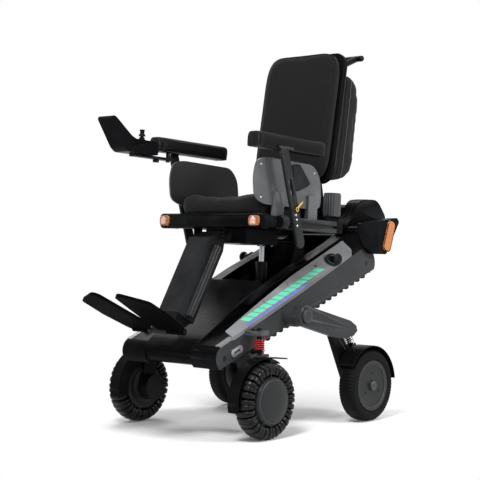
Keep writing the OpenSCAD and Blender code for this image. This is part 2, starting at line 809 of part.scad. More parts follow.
// One unbroken tube of six sides along the wire's middle line
module spring(turns, h) {
  line = wire_points(turns, h);
  n = len(line);
  rings = [for (i = [0 : n - 1])
    let (before = line[max(i - 1, 0)],
         after = line[min(i + 1, n - 1)],
         ahead = unit(after - before),
         out = unit([line[i][0], line[i][1], 0]),
         first = unit(out - (out * ahead) * ahead),
         second = cross(ahead, first))
    [for (k = [0 : 5]) line[i] + wire_r * (cos(60 * k) * first + sin(60 * k) * second)]];
  points = [for (ring = rings) each ring];
  last = 6 * (n - 1);
  faces = concat(
    [for (i = [0 : n - 2], k = [0 : 5]) [6 * i + k, 6 * i + 6 + k, 6 * i + (k + 1) % 6]],
    [for (i = [0 : n - 2], k = [0 : 5]) [6 * i + (k + 1) % 6, 6 * i + 6 + k, 6 * i + 6 + (k + 1) % 6]],
    [for (k = [1 : 4]) [0, k, k + 1]],
    [for (k = [1 : 4]) [last, last + k + 1, last + k]]);
  polyhedron(points, faces);
}

// Least gap of a spring to itself, measured between the wire's points a curl and more apart
function wire_gap(turns, h) =
  let (line = wire_points(turns, h), n = len(line))
  min([for (i = [0 : n - 8], j = [i + 7 : n - 1]) norm(line[i] - line[j])]) - 2 * wire_r;

// A padded form: rings of a soft rectangle up the sides, then in over the crowned top.
// size is half width, half length and height. bow draws the sides in between the corners,
// rise lifts the sides of the top, dips are cross channels as (place, depth) with a width.
function pad_ring(size, bow, scale, m, power) =
  [for (i = [0 : m - 1])
    let (a = 360 * i / m,
         x = sign(cos(a)) * pow(abs(cos(a)), 2 / power),
         y = sign(sin(a)) * pow(abs(sin(a)), 2 / power))
    [size[0] * scale * x * (1 - bow * (1 - y * y)), size[1] * scale * y * (1 - bow * (1 - x * x))]];

function pad_top(size, x, y, crown, rise, dips) =
  let (u = x / size[0], v = y / size[1])
  size[2] * (1 + rise * u * u + crown * (1 - u * u) * (1 - v * v))
  - size[2] * max(concat([0], [for (d = dips) d[1] * exp(-pow((v - d[0]) / d[2], 2))]));

module pad(size, bow, crown, rise, dips, m, power) {
  low_shares = [[0.94, 0], [0.985, 0.16], [1, 0.42], [0.995, 0.68], [0.975, 0.86], [0.94, 0.95]];
  high_shares = [0.88, 0.8, 0.7, 0.58, 0.46, 0.34, 0.22, 0.1];
  side_rings = [for (s = low_shares) [for (p = pad_ring(size, bow, s[0], m, power))
    [p[0], p[1], s[1] * pad_top(size, p[0], p[1], crown, rise, dips)]]];
  top_rings = [for (s = high_shares) [for (p = pad_ring(size, bow, s, m, power))
    [p[0], p[1], pad_top(size, p[0], p[1], crown, rise, dips)]]];
  rings = concat(side_rings, top_rings);
  n = len(rings);
  points = concat([for (ring = rings) each ring],
                  [[0, 0, 0], [0, 0, pad_top(size, 0, 0, crown, rise, dips)]]);
  foot = n * m;
  faces = concat(
    [for (j = [0 : n - 2], i = [0 : m - 1]) [j * m + i, (j + 1) * m + i, j * m + (i + 1) % m]],
    [for (j = [0 : n - 2], i = [0 : m - 1])
      [j * m + (i + 1) % m, (j + 1) * m + i, (j + 1) * m + (i + 1) % m]],
    [for (i = [0 : m - 1]) [foot, i, (i + 1) % m]],
    [for (i = [0 : m - 1]) [foot + 1, (n - 1) * m + (i + 1) % m, (n - 1) * m + i]]);
  polyhedron(points, faces);
}

module body_shell() {
  color("#2c2d2f") difference() {
    union() {
      difference() {
        at_idler() along_x(-shell_x, 2 * shell_x) outline(shell_shares, track_len, ease_big);
        at_idler() along_x(shell_wall - shell_x, 2 * (shell_x - shell_wall))
          outline(hollow_shares, track_len);
      }
      both() {
        for (w = [[wing_x, wing_shares], [plate_out, nose_shares]])
          in_track() along_x(shell_x - shell_wall, w[0] - shell_x + shell_wall) intersection() {
            difference() {
              loop(rim_front + wing_t, rim_rear + wing_t);
              loop(rim_front, rim_rear);
            }
            outline(w[1], track_len);
          }
        at_idler() along_x(shell_x - shell_wall, ledge_w) outline(ledge_shares, track_len);
      }
      at_idler() along_x(-plate_x, 2 * plate_x) outline(deck_shares, track_len);
    }
    for (along = [0, track_len])
      in_track() rod_x(along, 0, track_axle_r + run_gap, -plate_x, 2 * plate_x);
  }
}

module side_plates() {
  color("#3f4042") both() difference() {
    union() {
      in_track() {
        along_x(plate_x, plate_t) intersection() {
          loop(rim_front - move_gap / 2, rim_rear - move_gap / 2);
          outline(plate_shares, track_len);
        }
        for (s = tie_shares) rod_x(s * track_len, 0, tie_r, shell_x, plate_x - shell_x);
        rod_x(arm_along, 0, arm_boss_r, plate_x, arm_boss_x - plate_x);
      }
      translate([plate_x, guide_back - guide_half, axle_z + guide_up])
        cube([guide_x - plate_x + guide_half, 2 * guide_half, guide_t]);
    }
    in_track() {
      rod_x(0, 0, track_axle_r + run_gap, plate_x - cut_over, plate_t + 2 * cut_over);
      rod_x(track_len, 0, track_axle_r + run_gap, plate_x - cut_over, plate_t + 2 * cut_over);
      rod_x(arm_along, 0, arm_shaft_r + run_gap, plate_x - cut_over, arm_boss_x - plate_x + 2 * cut_over);
    }
    translate([guide_x, guide_back, axle_z + guide_up - cut_over])
      cylinder(h = guide_t + 2 * cut_over, r = guide_r + run_gap);
  }
}

module in_cover() {
  translate([plate_out, idler_y + cover_back, idler_z + cover_up])
    rotate([cover_pitch, 0, 0]) rotate([0, cover_slope, 0]) children();
}

module side_covers() {
  color("#8e8c8b") both() {
    in_cover() {
      translate([0, 0, -cover_t]) linear_extrude(cover_t) outline(cover_shares, cover_len);
      translate([cover_boss_share[0] * cover_len, cover_boss_share[1] * cover_len, -cover_t])
        cylinder(h = cover_boss_h + cover_t, r = cover_boss_r);
    }
    in_track() along_x(wing_x + move_gap, plate_out - wing_x - move_gap) intersection() {
      difference() {
        loop(rim_front + strip_t, rim_rear + strip_t);
        loop(rim_front, rim_rear);
      }
      outline(strip_shares, track_len);
    }
  }
}

module track_belts() {
  color("#1b1b1c") both() in_track() along_x(belt_x, belt_w) difference() {
    union() {
      loop(belt_r_front, belt_r_rear);
      lugs();
    }
    loop(belt_r_front - belt_t, belt_r_rear - belt_t);
  }
}

module drum_axle(along, r) {
  in_track() {
    rod_x(along, 0, track_axle_r, move_gap - plate_out, 2 * (plate_out - move_gap));
    both() rod_x(along, 0, r - belt_t - move_gap, belt_x, belt_w);
  }
}

module drive_axle() {
  color("#4a4b4d") drum_axle(track_len, belt_r_rear);
}

module idler_axle() {
  color("#4a4b4d") drum_axle(0, belt_r_front);
}

module tail_cover() {
  color("#202123") at_idler() {
    along_x(-bridge_x, 2 * bridge_x) outline(bridge_shares, track_len, ease_big);
    both() {
      along_x(bridge_x - cover_t, hump_x - bridge_x + cover_t) outline(hump_shares, track_len, ease_big);
      along_x(hump_x - cover_t, tail_x - hump_x + cover_t) outline(shoulder_shares, track_len, ease_small);
      intersection() {
        along_x(plate_out + move_gap, pod_t) outline(pod_shares, track_len, ease_small);
        translate([plate_out + move_gap, 0, -track_len]) linear_extrude(2 * track_len)
          polygon([for (p = pod_plan_shares) [p[0] * pod_t, p[1] * track_len]]);
      }
    }
  }
}

module tail_lamp_lenses() {
  color("#e08f45") at_idler() both()
    along_x(plate_out + move_gap + pod_t, lens_t)
      translate(lens_share * track_len) rotate(lens_lean) round_rect(lens_w, lens_len, lens_w / 3);
}

module battery_pack() {
  color("#34383c") at_idler()
    translate([-battery_w / 2, battery_share[0] * track_len, battery_share[1] * track_len])
      rotate([floor_slope, 0, 0]) cube([battery_w, battery_len, battery_h]);
}

module seat_mast() {
  color("#33353a") {
    both() along_x(mast_x, mast_t) {
      translate([idler_y, idler_z]) outline(mast_shares, track_len);
      polygon([pivot + pivot_r * [-2, -1], pivot + pivot_r * [2, -1],
               [idler_y, idler_z] + mast_shares[2] * track_len,
               [idler_y, idler_z] + mast_shares[3] * track_len]);
      translate(pivot) circle(2 * pivot_r);
      polygon([pivot + pivot_r * [-2, 0], pivot + pivot_r * [-2, -1],
               pivot + pivot_r * [2, -1], pivot + pivot_r * [2, 0]]);
    }
    at_idler() along_x(-mast_x - mast_t, 2 * (mast_x + mast_t)) outline(mast_shares, track_len);
    rod_x(pivot[0], pivot[1], pivot_r, -mast_x - mast_t, 2 * (mast_x + mast_t));
    at_idler() along_x(-mast_x, 2 * mast_x) outline(clevis_shares, track_len);
    both() along_x(tube_r + move_gap, mast_t)
      capsule(tube_pin, [tube_pin[0], idler_z + clevis_shares[3][1] * track_len + 2 * act_pin_r],
              2 * act_pin_r, 2 * act_pin_r);
    rod_x(tube_pin[0], tube_pin[1], act_pin_r, -tube_r - mast_t, 2 * (tube_r + mast_t));
  }
}

module chassis_fasteners() {
  color("#b9bcc0") both() {
    in_track() along_x(plate_out, tensioner_t) difference() {
      translate([tensioner_len, 0]) round_rect(tensioner_len, tensioner_w, tensioner_w / 2 - cut_over);
      translate([tensioner_len, 0]) round_rect(tensioner_len / 2, tensioner_w / 4, tensioner_w / 9);
    }
    in_cover() for (s = screw_shares)
      translate([-screw_across_share * cover_len, s * cover_len, 0]) cylinder(h = screw_h, r = screw_r);
  }
}

module tilt_actuator() {
  color("#3a3b3e") translate([0, tube_pin[0], tube_pin[1]]) rotate([-act_lean, 0, 0]) difference() {
    union() {
      rod_x(0, 0, 2 * act_pin_r, -tube_r, 2 * tube_r);
      cylinder(h = tube_len, r = tube_r);
    }
    rod_x(0, 0, act_pin_r + run_gap, -2 * tube_r, 4 * tube_r);
    translate([0, 0, 3 * act_pin_r]) cylinder(h = tube_len, r = rod_r + run_gap);
  }
}

module actuator_rod() {
  color("#c4c6c9") translate([0, tube_pin[0], tube_pin[1]]) rotate([-act_lean, 0, 0]) difference() {
    union() {
      translate([0, 0, 4 * act_pin_r]) cylinder(h = act_len - 4 * act_pin_r, r = rod_r);
      rod_x(0, act_len, 2 * act_pin_r + eye_gap, -rod_r, 2 * rod_r);
    }
    rod_x(0, act_len, act_pin_r + eye_gap, -2 * rod_r, 4 * rod_r);
  }
}

module rear_link(s) {
  color("#2a2b2d") side(s) {
    difference() {
      union() {
        translate([0, arm_y, arm_z]) along_x(link_x, link_t) {
          circle(link_eye_r);
          outline(link_shares, link_len);
        }
        rod_x(arm_y, arm_z, link_eye_r, arm_boss_x + move_gap, link_x - arm_boss_x);
        rod_x(arm_y, arm_z, link_cap_r, link_x + link_t, link_cap_h);
        rod_x(arm_y, arm_z, arm_shaft_r, plate_x + move_gap, link_x - plate_x);
        rod_x(swing_y, swing_z, swing_pin_r, swing_x, link_x - swing_x + cut_over);
        at_shock() translate([0, 0, -shock_cup_h]) cylinder(h = shock_cup_h, r = shock_cup_r);
        rod_x(shock_y, shock_z, damper_bore_r, shock_mid_x, link_x + cut_over - shock_mid_x);
      }
      at_shock() translate([0, 0, -shock_len])
        cylinder(h = shock_len - shock_cup_h, r = shock_cup_r + move_gap);
      at_shock() translate([0, 0, -shock_cup_h - cut_over])
        cylinder(h = shock_cup_h, r = damper_bore_r);
    }
  }
}

// The rear spring's upper end, z up along the spring
module at_shock() {
  translate([shock_mid_x, shock_y, shock_z]) rotate([shock_lean, 0, 0]) children();
}

module rear_swing_arm(s) {
  color("#38393c") side(s) difference() {
    union() {
      difference() {
        along_x(swing_x, swing_t) {
          capsule([swing_y, swing_z], [wheelbase, axle_z], swing_eye_r, swing_hub_r);
          translate([shock_y, shock_z]) outline(seat_tab_shares, link_len);
        }
        at_shock() translate([0, 0, shock_cup_h - shock_len])
          cylinder(h = shock_len - shock_cup_h, r = shock_cup_r + move_gap);
      }
      rod_x(wheelbase, axle_z, swing_hub_r, swing_x, rear_inner_x - swing_x - 2 * cut_over);
      rod_x(wheelbase, axle_z, axle_r, swing_x, rear_wheel_x - swing_x + rear_wheel_w / 4);
      for (p = fender_boss_shares)
        rod_x(wheelbase + p[0] * wheel_d, axle_z + p[1] * wheel_d, axle_r, swing_x, fender_x - swing_x);
      at_shock() translate([0, 0, -shock_len]) {
        cylinder(h = shock_cup_h, r = shock_cup_r);
        cylinder(h = shock_len - shock_cup_h, r = damper_r);
      }
    }
    rod_x(swing_y, swing_z, swing_pin_r + run_gap, swing_x - cut_over, swing_t + 2 * cut_over);
  }
}

rear_inner_x = rear_wheel_x - rear_wheel_w / 2;
fender_x = rear_inner_x - fender_t - 2 * move_gap - cut_over;
shock_mid_x = fender_x - shock_cup_r - 2 * move_gap;

// A fender round a wheel: rim and inner flange turned about the axle. depth is its width.
module fender(y, x, depth, arc, gap) {
  inner = wheel_r + gap;
  translate([x, y, axle_z]) rotate([0, 90, 0]) rotate([0, 0, 90 + arc[0]]) rotate_extrude(angle = arc[1]) {
    translate([inner, 0]) square([fender_t, depth]);
    translate([inner - fender_flange, 0]) square([fender_flange, fender_t]);
  }
}

module rear_fender(s) {
  color("#2b2c2e") side(s)
    fender(wheelbase, fender_x, rear_wheel_w + fender_t + 3 * move_gap, rear_fender_arc, fender_gap);
}

module rear_spring(s) {
  color("#c9cbce") side(s) at_shock()
    translate([0, 0, shock_cup_h - shock_len]) spring(rear_turns, shock_len - 2 * shock_cup_h);
}

module rear_hub(s) {
  color("#4b4c4e") side(s) translate([rear_wheel_x - rear_wheel_w / 2, wheelbase, axle_z]) rotate([0, 90, 0])
    difference() {
      union() {
        cylinder(h = rear_wheel_w, r = tyre_seat_r);
        cylinder(h = rear_wheel_w + hub_recess, r = 2 * axle_r);
      }
      translate([0, 0, rear_wheel_w - hub_recess]) difference() {
        cylinder(h = 2 * hub_recess, r = tyre_seat_r * 0.86);
        cylinder(h = 2 * hub_recess, r = 2 * axle_r);
      }
      translate([0, 0, -cut_over]) cylinder(h = rear_wheel_w * 3 / 4 + 2 * cut_over, r = axle_r + run_gap);
    }
}

module rear_tyre(s) {
  shoulder = rear_wheel_w / 7;
  color("#19191a") side(s) translate([rear_wheel_x - rear_wheel_w / 2, wheelbase, axle_z]) rotate([0, 90, 0])
    rotate_extrude() polygon([[tyre_seat_r, 0], [wheel_r - shoulder, 0],
      [wheel_r - shoulder / 4, shoulder / 2], [wheel_r, 2 * shoulder], [wheel_r, rear_wheel_w - 2 * shoulder],
      [wheel_r - shoulder / 4, rear_wheel_w - shoulder / 2], [wheel_r - shoulder, rear_wheel_w],
      [tyre_seat_r, rear_wheel_w]]);
}

carrier_x = front_wheel_x - front_wheel_w / 2 - carrier_gap - carrier_t;

module front_carrier(s) {
  color("#3b3c3f") side(s) {
    rod_x(0, axle_z, motor_r, carrier_x + carrier_t - motor_len, motor_len);
    rod_x(0, axle_z, axle_r, carrier_x, front_wheel_x - carrier_x + front_wheel_w / 4);
    along_x(carrier_x, carrier_t) capsule([0, axle_z], [guide_back, axle_z + spring_seat_up - guide_half / 2],
      motor_r, guide_half / 2);
    translate([carrier_x, guide_back - guide_half, axle_z + spring_seat_up - carrier_t])
      cube([guide_x - carrier_x + guide_half, 2 * guide_half, carrier_t]);
    translate([guide_x, guide_back, axle_z + spring_seat_up - carrier_t])
      cylinder(h = guide_up + guide_t + 2 * carrier_t - spring_seat_up, r = guide_r);
  }
}

module front_fender(s) {
  depth = front_fender_share * front_wheel_w;
  color("#242527") side(s) {
    fender(0, carrier_x + carrier_t, depth, front_fender_arc, fender_gap - fender_t);
    translate([0, 0, axle_z]) along_x(carrier_x + carrier_t + move_gap, depth - 2 * move_gap)
      outline(fender_tail_shares, wheel_d);
  }
}

module front_spring(s) {
  color("#c0232b") side(s) translate([guide_x, guide_back, axle_z + spring_seat_up])
    spring(front_turns, guide_up - spring_seat_up);
}

roller_ring = wheel_r - roller_r;
roller_step = 360 / roller_n;
roller_len = 2 * roller_ring * sin(roller_step / 2) * 0.75;

// Puts children at each roller of both rows, z along the roller's pin
module at_rollers() {
  for (row = [0, 1], i = [0 : roller_n - 1])
    translate([front_wheel_x + (row - 0.5) * front_wheel_w / 2, 0, axle_z])
      rotate([roller_step * (i + row / 2), 0, 0]) translate([0, roller_ring, 0]) children();
}

module front_hub(s) {
  inner_x = front_wheel_x - front_wheel_w / 2;
  color("#2e2f31") side(s) difference() {
    union() {
      rod_x(0, axle_z, front_hub_r, inner_x, front_wheel_w);
      translate([inner_x + front_wheel_w - cut_over, 0, axle_z]) rotate([0, 90, 0])
        cylinder(h = hub_cap_h, r1 = hub_cap_r, r2 = hub_cap_r * 0.72);
      at_rollers() cylinder(h = roller_len * 1.18, r = roller_pin_r, center = true);
      for (row = [0, 1], i = [0 : roller_n - 1])
        translate([front_wheel_x + (row - 0.5) * front_wheel_w / 2, 0, axle_z])
          rotate([roller_step * (i + 0.5 + row / 2), 0, 0])
            translate([-roller_pin_r * 2, front_hub_r - cut_over, -roller_pin_r])
              cube([roller_pin_r * 4, roller_ring - front_hub_r + 2 * roller_pin_r, 2 * roller_pin_r]);
    }
    rod_x(0, axle_z, axle_r + run_gap, inner_x - cut_over, front_wheel_w * 3 / 4 + 2 * cut_over);
  }
}

// A barrel roller with three grooves, turned to the wheel's own curve
module roller() {
  half = roller_len / 2;
  groove = roller_r / 10;
  curve = [for (t = [-1, -0.75, -0.42, 0, 0.42, 0.75, 1])
    [roller_r - wheel_r + sqrt(wheel_r * wheel_r - pow(t * half, 2)), t * half]];
  rotate_extrude() polygon(concat(
    [[roller_pin_r + run_gap, -half], [curve[0][0] - groove, -half]],
    [for (i = [1 : 5]) each (i == 1 || i == 3 || i == 5)
      ? [[curve[i][0], curve[i][1] - groove], [curve[i][0] - groove, curve[i][1]],
         [curve[i][0], curve[i][1] + groove]]
      : [curve[i]]],
    [[curve[6][0] - groove, half], [roller_pin_r + run_gap, half]]));
}

module front_rollers(s) {
  color("#1a1a1b") side(s) at_rollers() roller();
}

rail_y = bar_pod_len - bar_pod_r / 2;
bar_pod_x = rail_x + rail_w / 2;
pan_x = panel_x - panel_t - move_gap;
beam_y = rail_y + rail_len;

module seat_frame() {
  color("#232427") {
    in_seat() {
      along_x(-bar_half, 2 * bar_half) round_rect(bar_d, bar_h, bar_round);
      translate([-rail_x, 0, -rail_h / 2]) cube([2 * rail_x, beam_y + cut_over, pan_t]);
      translate([-pan_x, 0, rail_h / 2 - pan_t])
        cube([2 * pan_x, beam_y + cut_over, bar_h / 2 - rail_h / 2 + pan_t]);
      translate([-rail_x - rail_w, beam_y, -rail_h / 2]) cube([2 * (rail_x + rail_w), beam_d, rail_h]);
      both() {
        translate([bar_pod_x, rail_y, 0]) rotate([90, 0, 0])
          cylinder(h = bar_pod_len, r = bar_pod_r);
        along_x(recline_motor_x - mast_t, 2 * mast_t) outline(recline_shares, recline_back);
        along_x(mast_x - move_gap - mast_t, mast_t) difference() {
          capsule([pivot_back, -pivot_down], [pivot_back, -rail_h / 2 - cut_over],
                  2 * pivot_r, 2 * pivot_r + cut_over);
          translate([pivot_back, -pivot_down]) circle(pivot_r + run_gap);
          translate([0, -rail_h / 2 + pan_t]) square([2 * pivot_back, rail_h]);
        }
        along_x(rod_r + move_gap, mast_t) difference() {
          capsule([rod_pin_back, -rod_pin_down], [rod_pin_back, -rail_h / 2], 2 * act_pin_r, 3 * act_pin_r);
          translate([0, -rail_h / 2 + pan_t]) square([2 * pivot_back, rail_h]);
        }
      }
      rod_x(rod_pin_back, -rod_pin_down, act_pin_r, -rod_r - mast_t, 2 * (rod_r + mast_t));
    }
    both() along_x(leg_x + leg_rail_w + 2 * move_gap, mast_t)
      capsule([leg_y, leg_z], [seat_y, seat_z], 2 * leg_pin_r, bar_d / 2 - cut_over);
    rod_x(leg_y, leg_z, leg_pin_r, -leg_x - leg_rail_w - mast_t, 2 * (leg_x + leg_rail_w + mast_t));
  }
}

// A slotted rail's section about its middle
module slotted(w, h) {
  difference() {
    square([w, h], center = true);
    for (x = [-1, 1]) translate([x * w / 2, 0]) square([2 * slot_d, slot_w], center = true);
    for (y = [-1, 1]) translate([0, y * h / 2]) square([slot_w, 2 * slot_d], center = true);
  }
}

pin_x = rail_x + rail_w - slot_d;

module seat_rails() {
  color("#2f3033") in_seat() both() {
    along_y(rail_y, rail_len) translate([rail_x + rail_w / 2, 0]) slotted(rail_w, rail_h);
    rod_x(arm_back, 0, 2 * post_pin_r, pin_x, post_x - move_gap - pin_x);
    rod_x(arm_back, 0, post_pin_r, pin_x, post_x + post_t - pin_x);
  }
}

module seat_cushion() {
  color("#2a2a2c") in_seat() translate([0, cushion_len / 2 - cushion_ahead, bar_h / 2 + move_gap])
    pad([cushion_x, cushion_len / 2, cushion_h], 0.015, 0.1, bolster_h / cushion_h,
        [[-0.45, 0.1, 0.05], [0.1, 0.1, 0.05]], 40, 6);
}

module marker_lamps() {
  color("#e79a4c") in_seat() both()
    along_y(-bar_d / 2 - marker_t, marker_t)
      translate([marker_x, 0]) round_rect(marker_w, marker_h, marker_h / 3);
}

module control_box() {
  color("#1f2022") in_seat() translate([-box_x, 3 * bar_d / 2, -rail_h / 2 - box_h])
    cube([2 * box_x, box_len, box_h]);
}

module recline_motors() {
  color("#6b6d70") in_seat() both() difference() {
    translate([recline_motor_x, recline_back, recline_foot_share * recline_back])
      cylinder(h = recline_motor_h, r = recline_motor_r);
    rod_x(recline_back, recline_up, recline_r + run_gap,
          recline_motor_x - 2 * recline_motor_r, 2 * recline_motor_r);
  }
}

module side_panels() {
  color("#4a4b4d") in_seat() both() {
    along_x(panel_x - panel_t, panel_t) outline(panel_shares, panel_len, ease_big);
    for (t = tab_shares)
      translate([panel_x - panel_t, t * panel_len, rail_h / 2])
        cube([rail_x - panel_x + 2 * panel_t, tab_size_shares[0] * panel_len,
              tab_size_shares[1] * panel_len]);
  }
}

function post_pt(d) = [-sin(post_lean) * d, cos(post_lean) * d];
lever_at = post_pt(post_len * 0.2);

module arm_post(s) {
  color("#2b2c2e") side(s) in_arm() {
    along_x(post_x, post_t) difference() {
      capsule(post_pt(-post_tail), post_pt(post_len), post_w / 2, post_w / 2);
      circle(post_pin_r + run_gap);
      capsule(post_pt(post_len * 0.42), post_pt(post_len * 0.6), post_w / 5, post_w / 5);
    }
    rod_x(lever_at[0], lever_at[1], lever_pin_r, post_x + post_t / 2, post_t / 2 + move_gap + 2 * lever_r);
    rotate([-pad_fall, 0, 0]) {
      translate([pad_x - pad_w / 2, -pad_ahead, pad_up]) cube([pad_w, pad_len, pad_base_t]);
      translate([pad_x, -pad_ahead / 2, pad_up])
        cube([post_x + post_t - pad_x, pad_ahead / 3, pad_base_t]);
    }
    if (s < 0) rotate([-pad_fall, 0, 0]) translate([pad_x, -bracket_ahead, bracket_z - bracket_t / 2])
      cylinder(h = pad_up + pad_base_t / 2 - bracket_z + bracket_t / 2, r = bracket_pin_r);
  }
}

bracket_z = pad_up - bracket_drop;

module arm_pad(s) {
  color("#5c5d60") side(s) in_arm() rotate([-pad_fall, 0, 0])
    translate([pad_x, pad_len / 2 - pad_ahead, pad_up + pad_base_t + move_gap])
      pad([pad_w / 2, pad_len / 2, pad_h], 0.01, 0.12, 0, [], 28, 7);
}

module release_lever(s) {
  color("#d9b85a") side(s) in_arm() translate([0, lever_at[0], lever_at[1]]) difference() {
    union() {
      rod_x(0, 0, 2 * lever_pin_r, post_x + post_t + move_gap, 2 * lever_r);
      translate([post_x + post_t + move_gap + lever_r, 0, 0]) rotate([-48, 0, 0])
        cylinder(h = lever_len + 2 * lever_r, r = lever_r * 0.8);
    }
    rod_x(0, 0, lever_pin_r + run_gap, post_x, 2 * post_t + 2 * lever_r);
  }
}

shell_front = back_t - back_ahead;

module back_shell() {
  color("#1d1d1f") in_back() {
    translate([0, 0, back_up + back_h / 2]) along_y(shell_front + move_gap / 2, back_shell_t)
      round_rect(2 * back_x, back_h, back_x / 4);
    along_x(-spine_x, 2 * spine_x) polygon([for (p = spine_shares) [p[0] * back_ahead, p[1] * back_h]]);
    rod_x(0, 0, recline_r, -recline_motor_x, 2 * recline_motor_x);
  }
}

module back_cushion() {
  color("#333335") in_back() translate([0, shell_front, back_up + back_h / 2]) rotate([90, 0, 0])
    pad([back_x, back_h / 2, back_t * 0.88], 0.015, 0.13, 0, [[0.62, 0.06, 0.03]], 40, 6);
}

tube_y = shell_front + back_shell_t + tube_rad + move_gap;

module push_frame() {
  low = tube_end_shares[0] * back_h;
  bend = tube_end_shares[1] * back_h;
  reach = norm([push_back, push_up]);
  color("#1c1c1e") in_back() {
    both() {
      translate([tube_x, tube_y, low]) cylinder(h = bend - low, r = tube_rad);
      translate([tube_x, tube_y, low]) sphere(tube_rad);
      translate([tube_x, tube_y, bend]) sphere(tube_rad);
      translate([tube_x, tube_y, bend]) rotate([-atan2(push_back, push_up), 0, 0])
        cylinder(h = reach, r = tube_rad);
      for (c = clamp_shares)
        translate([tube_x - tube_rad, shell_front + back_shell_t + move_gap / 2, c * back_h])
          cube([2 * tube_rad, tube_rad, 2 * tube_rad]);
      translate([push_x, tube_y + push_back, bend + push_up]) sphere(tube_rad);
    }
    rod_x(tube_y + push_back, bend + push_up, tube_rad, -push_x, 2 * push_x);
  }
}

module back_bag() {
  color("#3a3a3d") in_back() along_x(-bag_x, 2 * bag_x)
    translate([shell_front + back_shell_t + 1.5 * move_gap, 0]) outline(bag_shares, back_h, ease_big);
}

module leg_column() {
  color("#1e1f21") in_leg() {
    difference() {
      along_x(-leg_x, 2 * leg_x) {
        circle(2 * leg_pin_r);
        outline(column_shares, leg_len);
      }
      rod_x(0, 0, leg_pin_r + run_gap, -leg_x - cut_over, 2 * (leg_x + cut_over));
    }
    along_x(-leg_x + cut_over, 2 * (leg_x - cut_over)) {
      outline(column_foot_shares, leg_len);
      translate([-foot_ahead, -foot_down]) circle(foot_knuckle_r);
    }
    rod_x(-foot_ahead, -foot_down, foot_pin_r, -knuckle_end, 2 * knuckle_end);
  }
}

knuckle_end = knuckle_shares[1] * foot_len;

module leg_rails() {
  color("#3a3b3d") in_leg() both()
    translate([leg_x + leg_rail_w / 2, -leg_rail_w / 2, leg_rail_shares[0] * leg_len])
      linear_extrude((leg_rail_shares[1] - leg_rail_shares[0]) * leg_len) difference() {
        square(leg_rail_w, center = true);
        for (y = [-1, 1]) translate([0, y * leg_rail_w / 2]) square([slot_w / 2, slot_d], center = true);
        translate([leg_rail_w / 2, 0]) square([slot_d, slot_w / 2], center = true);
      }
}

module footplate(s) {
  knuckle = knuckle_shares[0] * foot_len;
  color("#2b2c2e") side(s) translate([0, foot_y, foot_z]) rotate([-foot_pitch, 0, 0]) difference() {
    union() {
      translate([0, 0, -foot_t / 2]) linear_extrude(foot_t) mirror([0, 1])
        round_poly([for (i = [1 : len(foot_shares)]) foot_shares[len(foot_shares) - i] * foot_len],
                   foot_round);
      rod_x(0, 0, foot_knuckle_r, knuckle, knuckle_end - knuckle);
    }
    rod_x(0, 0, foot_pin_r + run_gap, -knuckle_end, 3 * knuckle_end);
  }
}

// The bracket's pivot under the right armrest's pad, z up along the pin
module at_bracket() {
  side(-1) in_arm() rotate([-pad_fall, 0, 0]) translate([pad_x, -bracket_ahead, bracket_z]) children();
}

module control_bracket() {
  color("#2a2b2d") at_bracket() difference() {
    union() {
      cylinder(h = bracket_t, r = bracket_w / 2);
      translate([-bracket_w / 2, -bracket_len, 0]) cube([bracket_w, bracket_len, bracket_t]);
      translate([0, -bracket_len / 3, -bracket_t])
        cylinder(h = bracket_t + cut_over, r = bracket_w / 2 - cut_over);
    }
    translate([0, 0, -cut_over]) cylinder(h = bracket_t + 2 * cut_over, r = bracket_pin_r + run_gap);
  }
}

stick_at = stick_share * control_len;

module control_pod() {
  color("#232426") at_bracket() difference() {
    along_x(-pod_half, 2 * pod_half) outline(pod_outline_shares, control_len, ease_small);
    translate([0, stick_at[0], stick_at[1] - gimbal_r / 2])
      cylinder(h = 3 * gimbal_r, r = gimbal_r + 4 * move_gap);
    rod_x(stick_at[0], stick_at[1], gimbal_pin_r + run_gap,
          -gimbal_r - 10 * gimbal_pin_r, 2 * gimbal_r + 20 * gimbal_pin_r);
  }
}

module joystick_gimbal() {
  ring_h = 3 * gimbal_pin_r;
  color("#55575a") at_bracket() translate([0, stick_at[0], stick_at[1]]) difference() {
    union() {
      cylinder(h = ring_h, r = gimbal_r, center = true);
      rod_x(0, 0, gimbal_pin_r, -gimbal_r - 4 * gimbal_pin_r, 2 * gimbal_r + 8 * gimbal_pin_r);
    }
    cylinder(h = 2 * ring_h, r = gimbal_r * 0.6, center = true);
    rotate([0, 0, 90]) rod_x(0, 0, gimbal_pin_r + run_gap, -2 * gimbal_r, 4 * gimbal_r);
  }
}

module joystick() {
  color("#8c8f93") at_bracket() translate([0, stick_at[0], stick_at[1]]) {
    translate([0, 0, -2 * gimbal_pin_r]) cylinder(h = stick_h, r = stick_r);
    rotate([0, 0, 90]) rod_x(0, 0, gimbal_pin_r, -gimbal_r, 2 * gimbal_r);
    translate([0, 0, stick_h * 0.55]) cylinder(h = stick_h * 0.2, r1 = knob_r, r2 = knob_r * 0.6);
    translate([0, 0, stick_h * 0.7]) cylinder(h = stick_h * 0.3, r1 = knob_r * 0.5, r2 = knob_r * 0.7);
  }
}

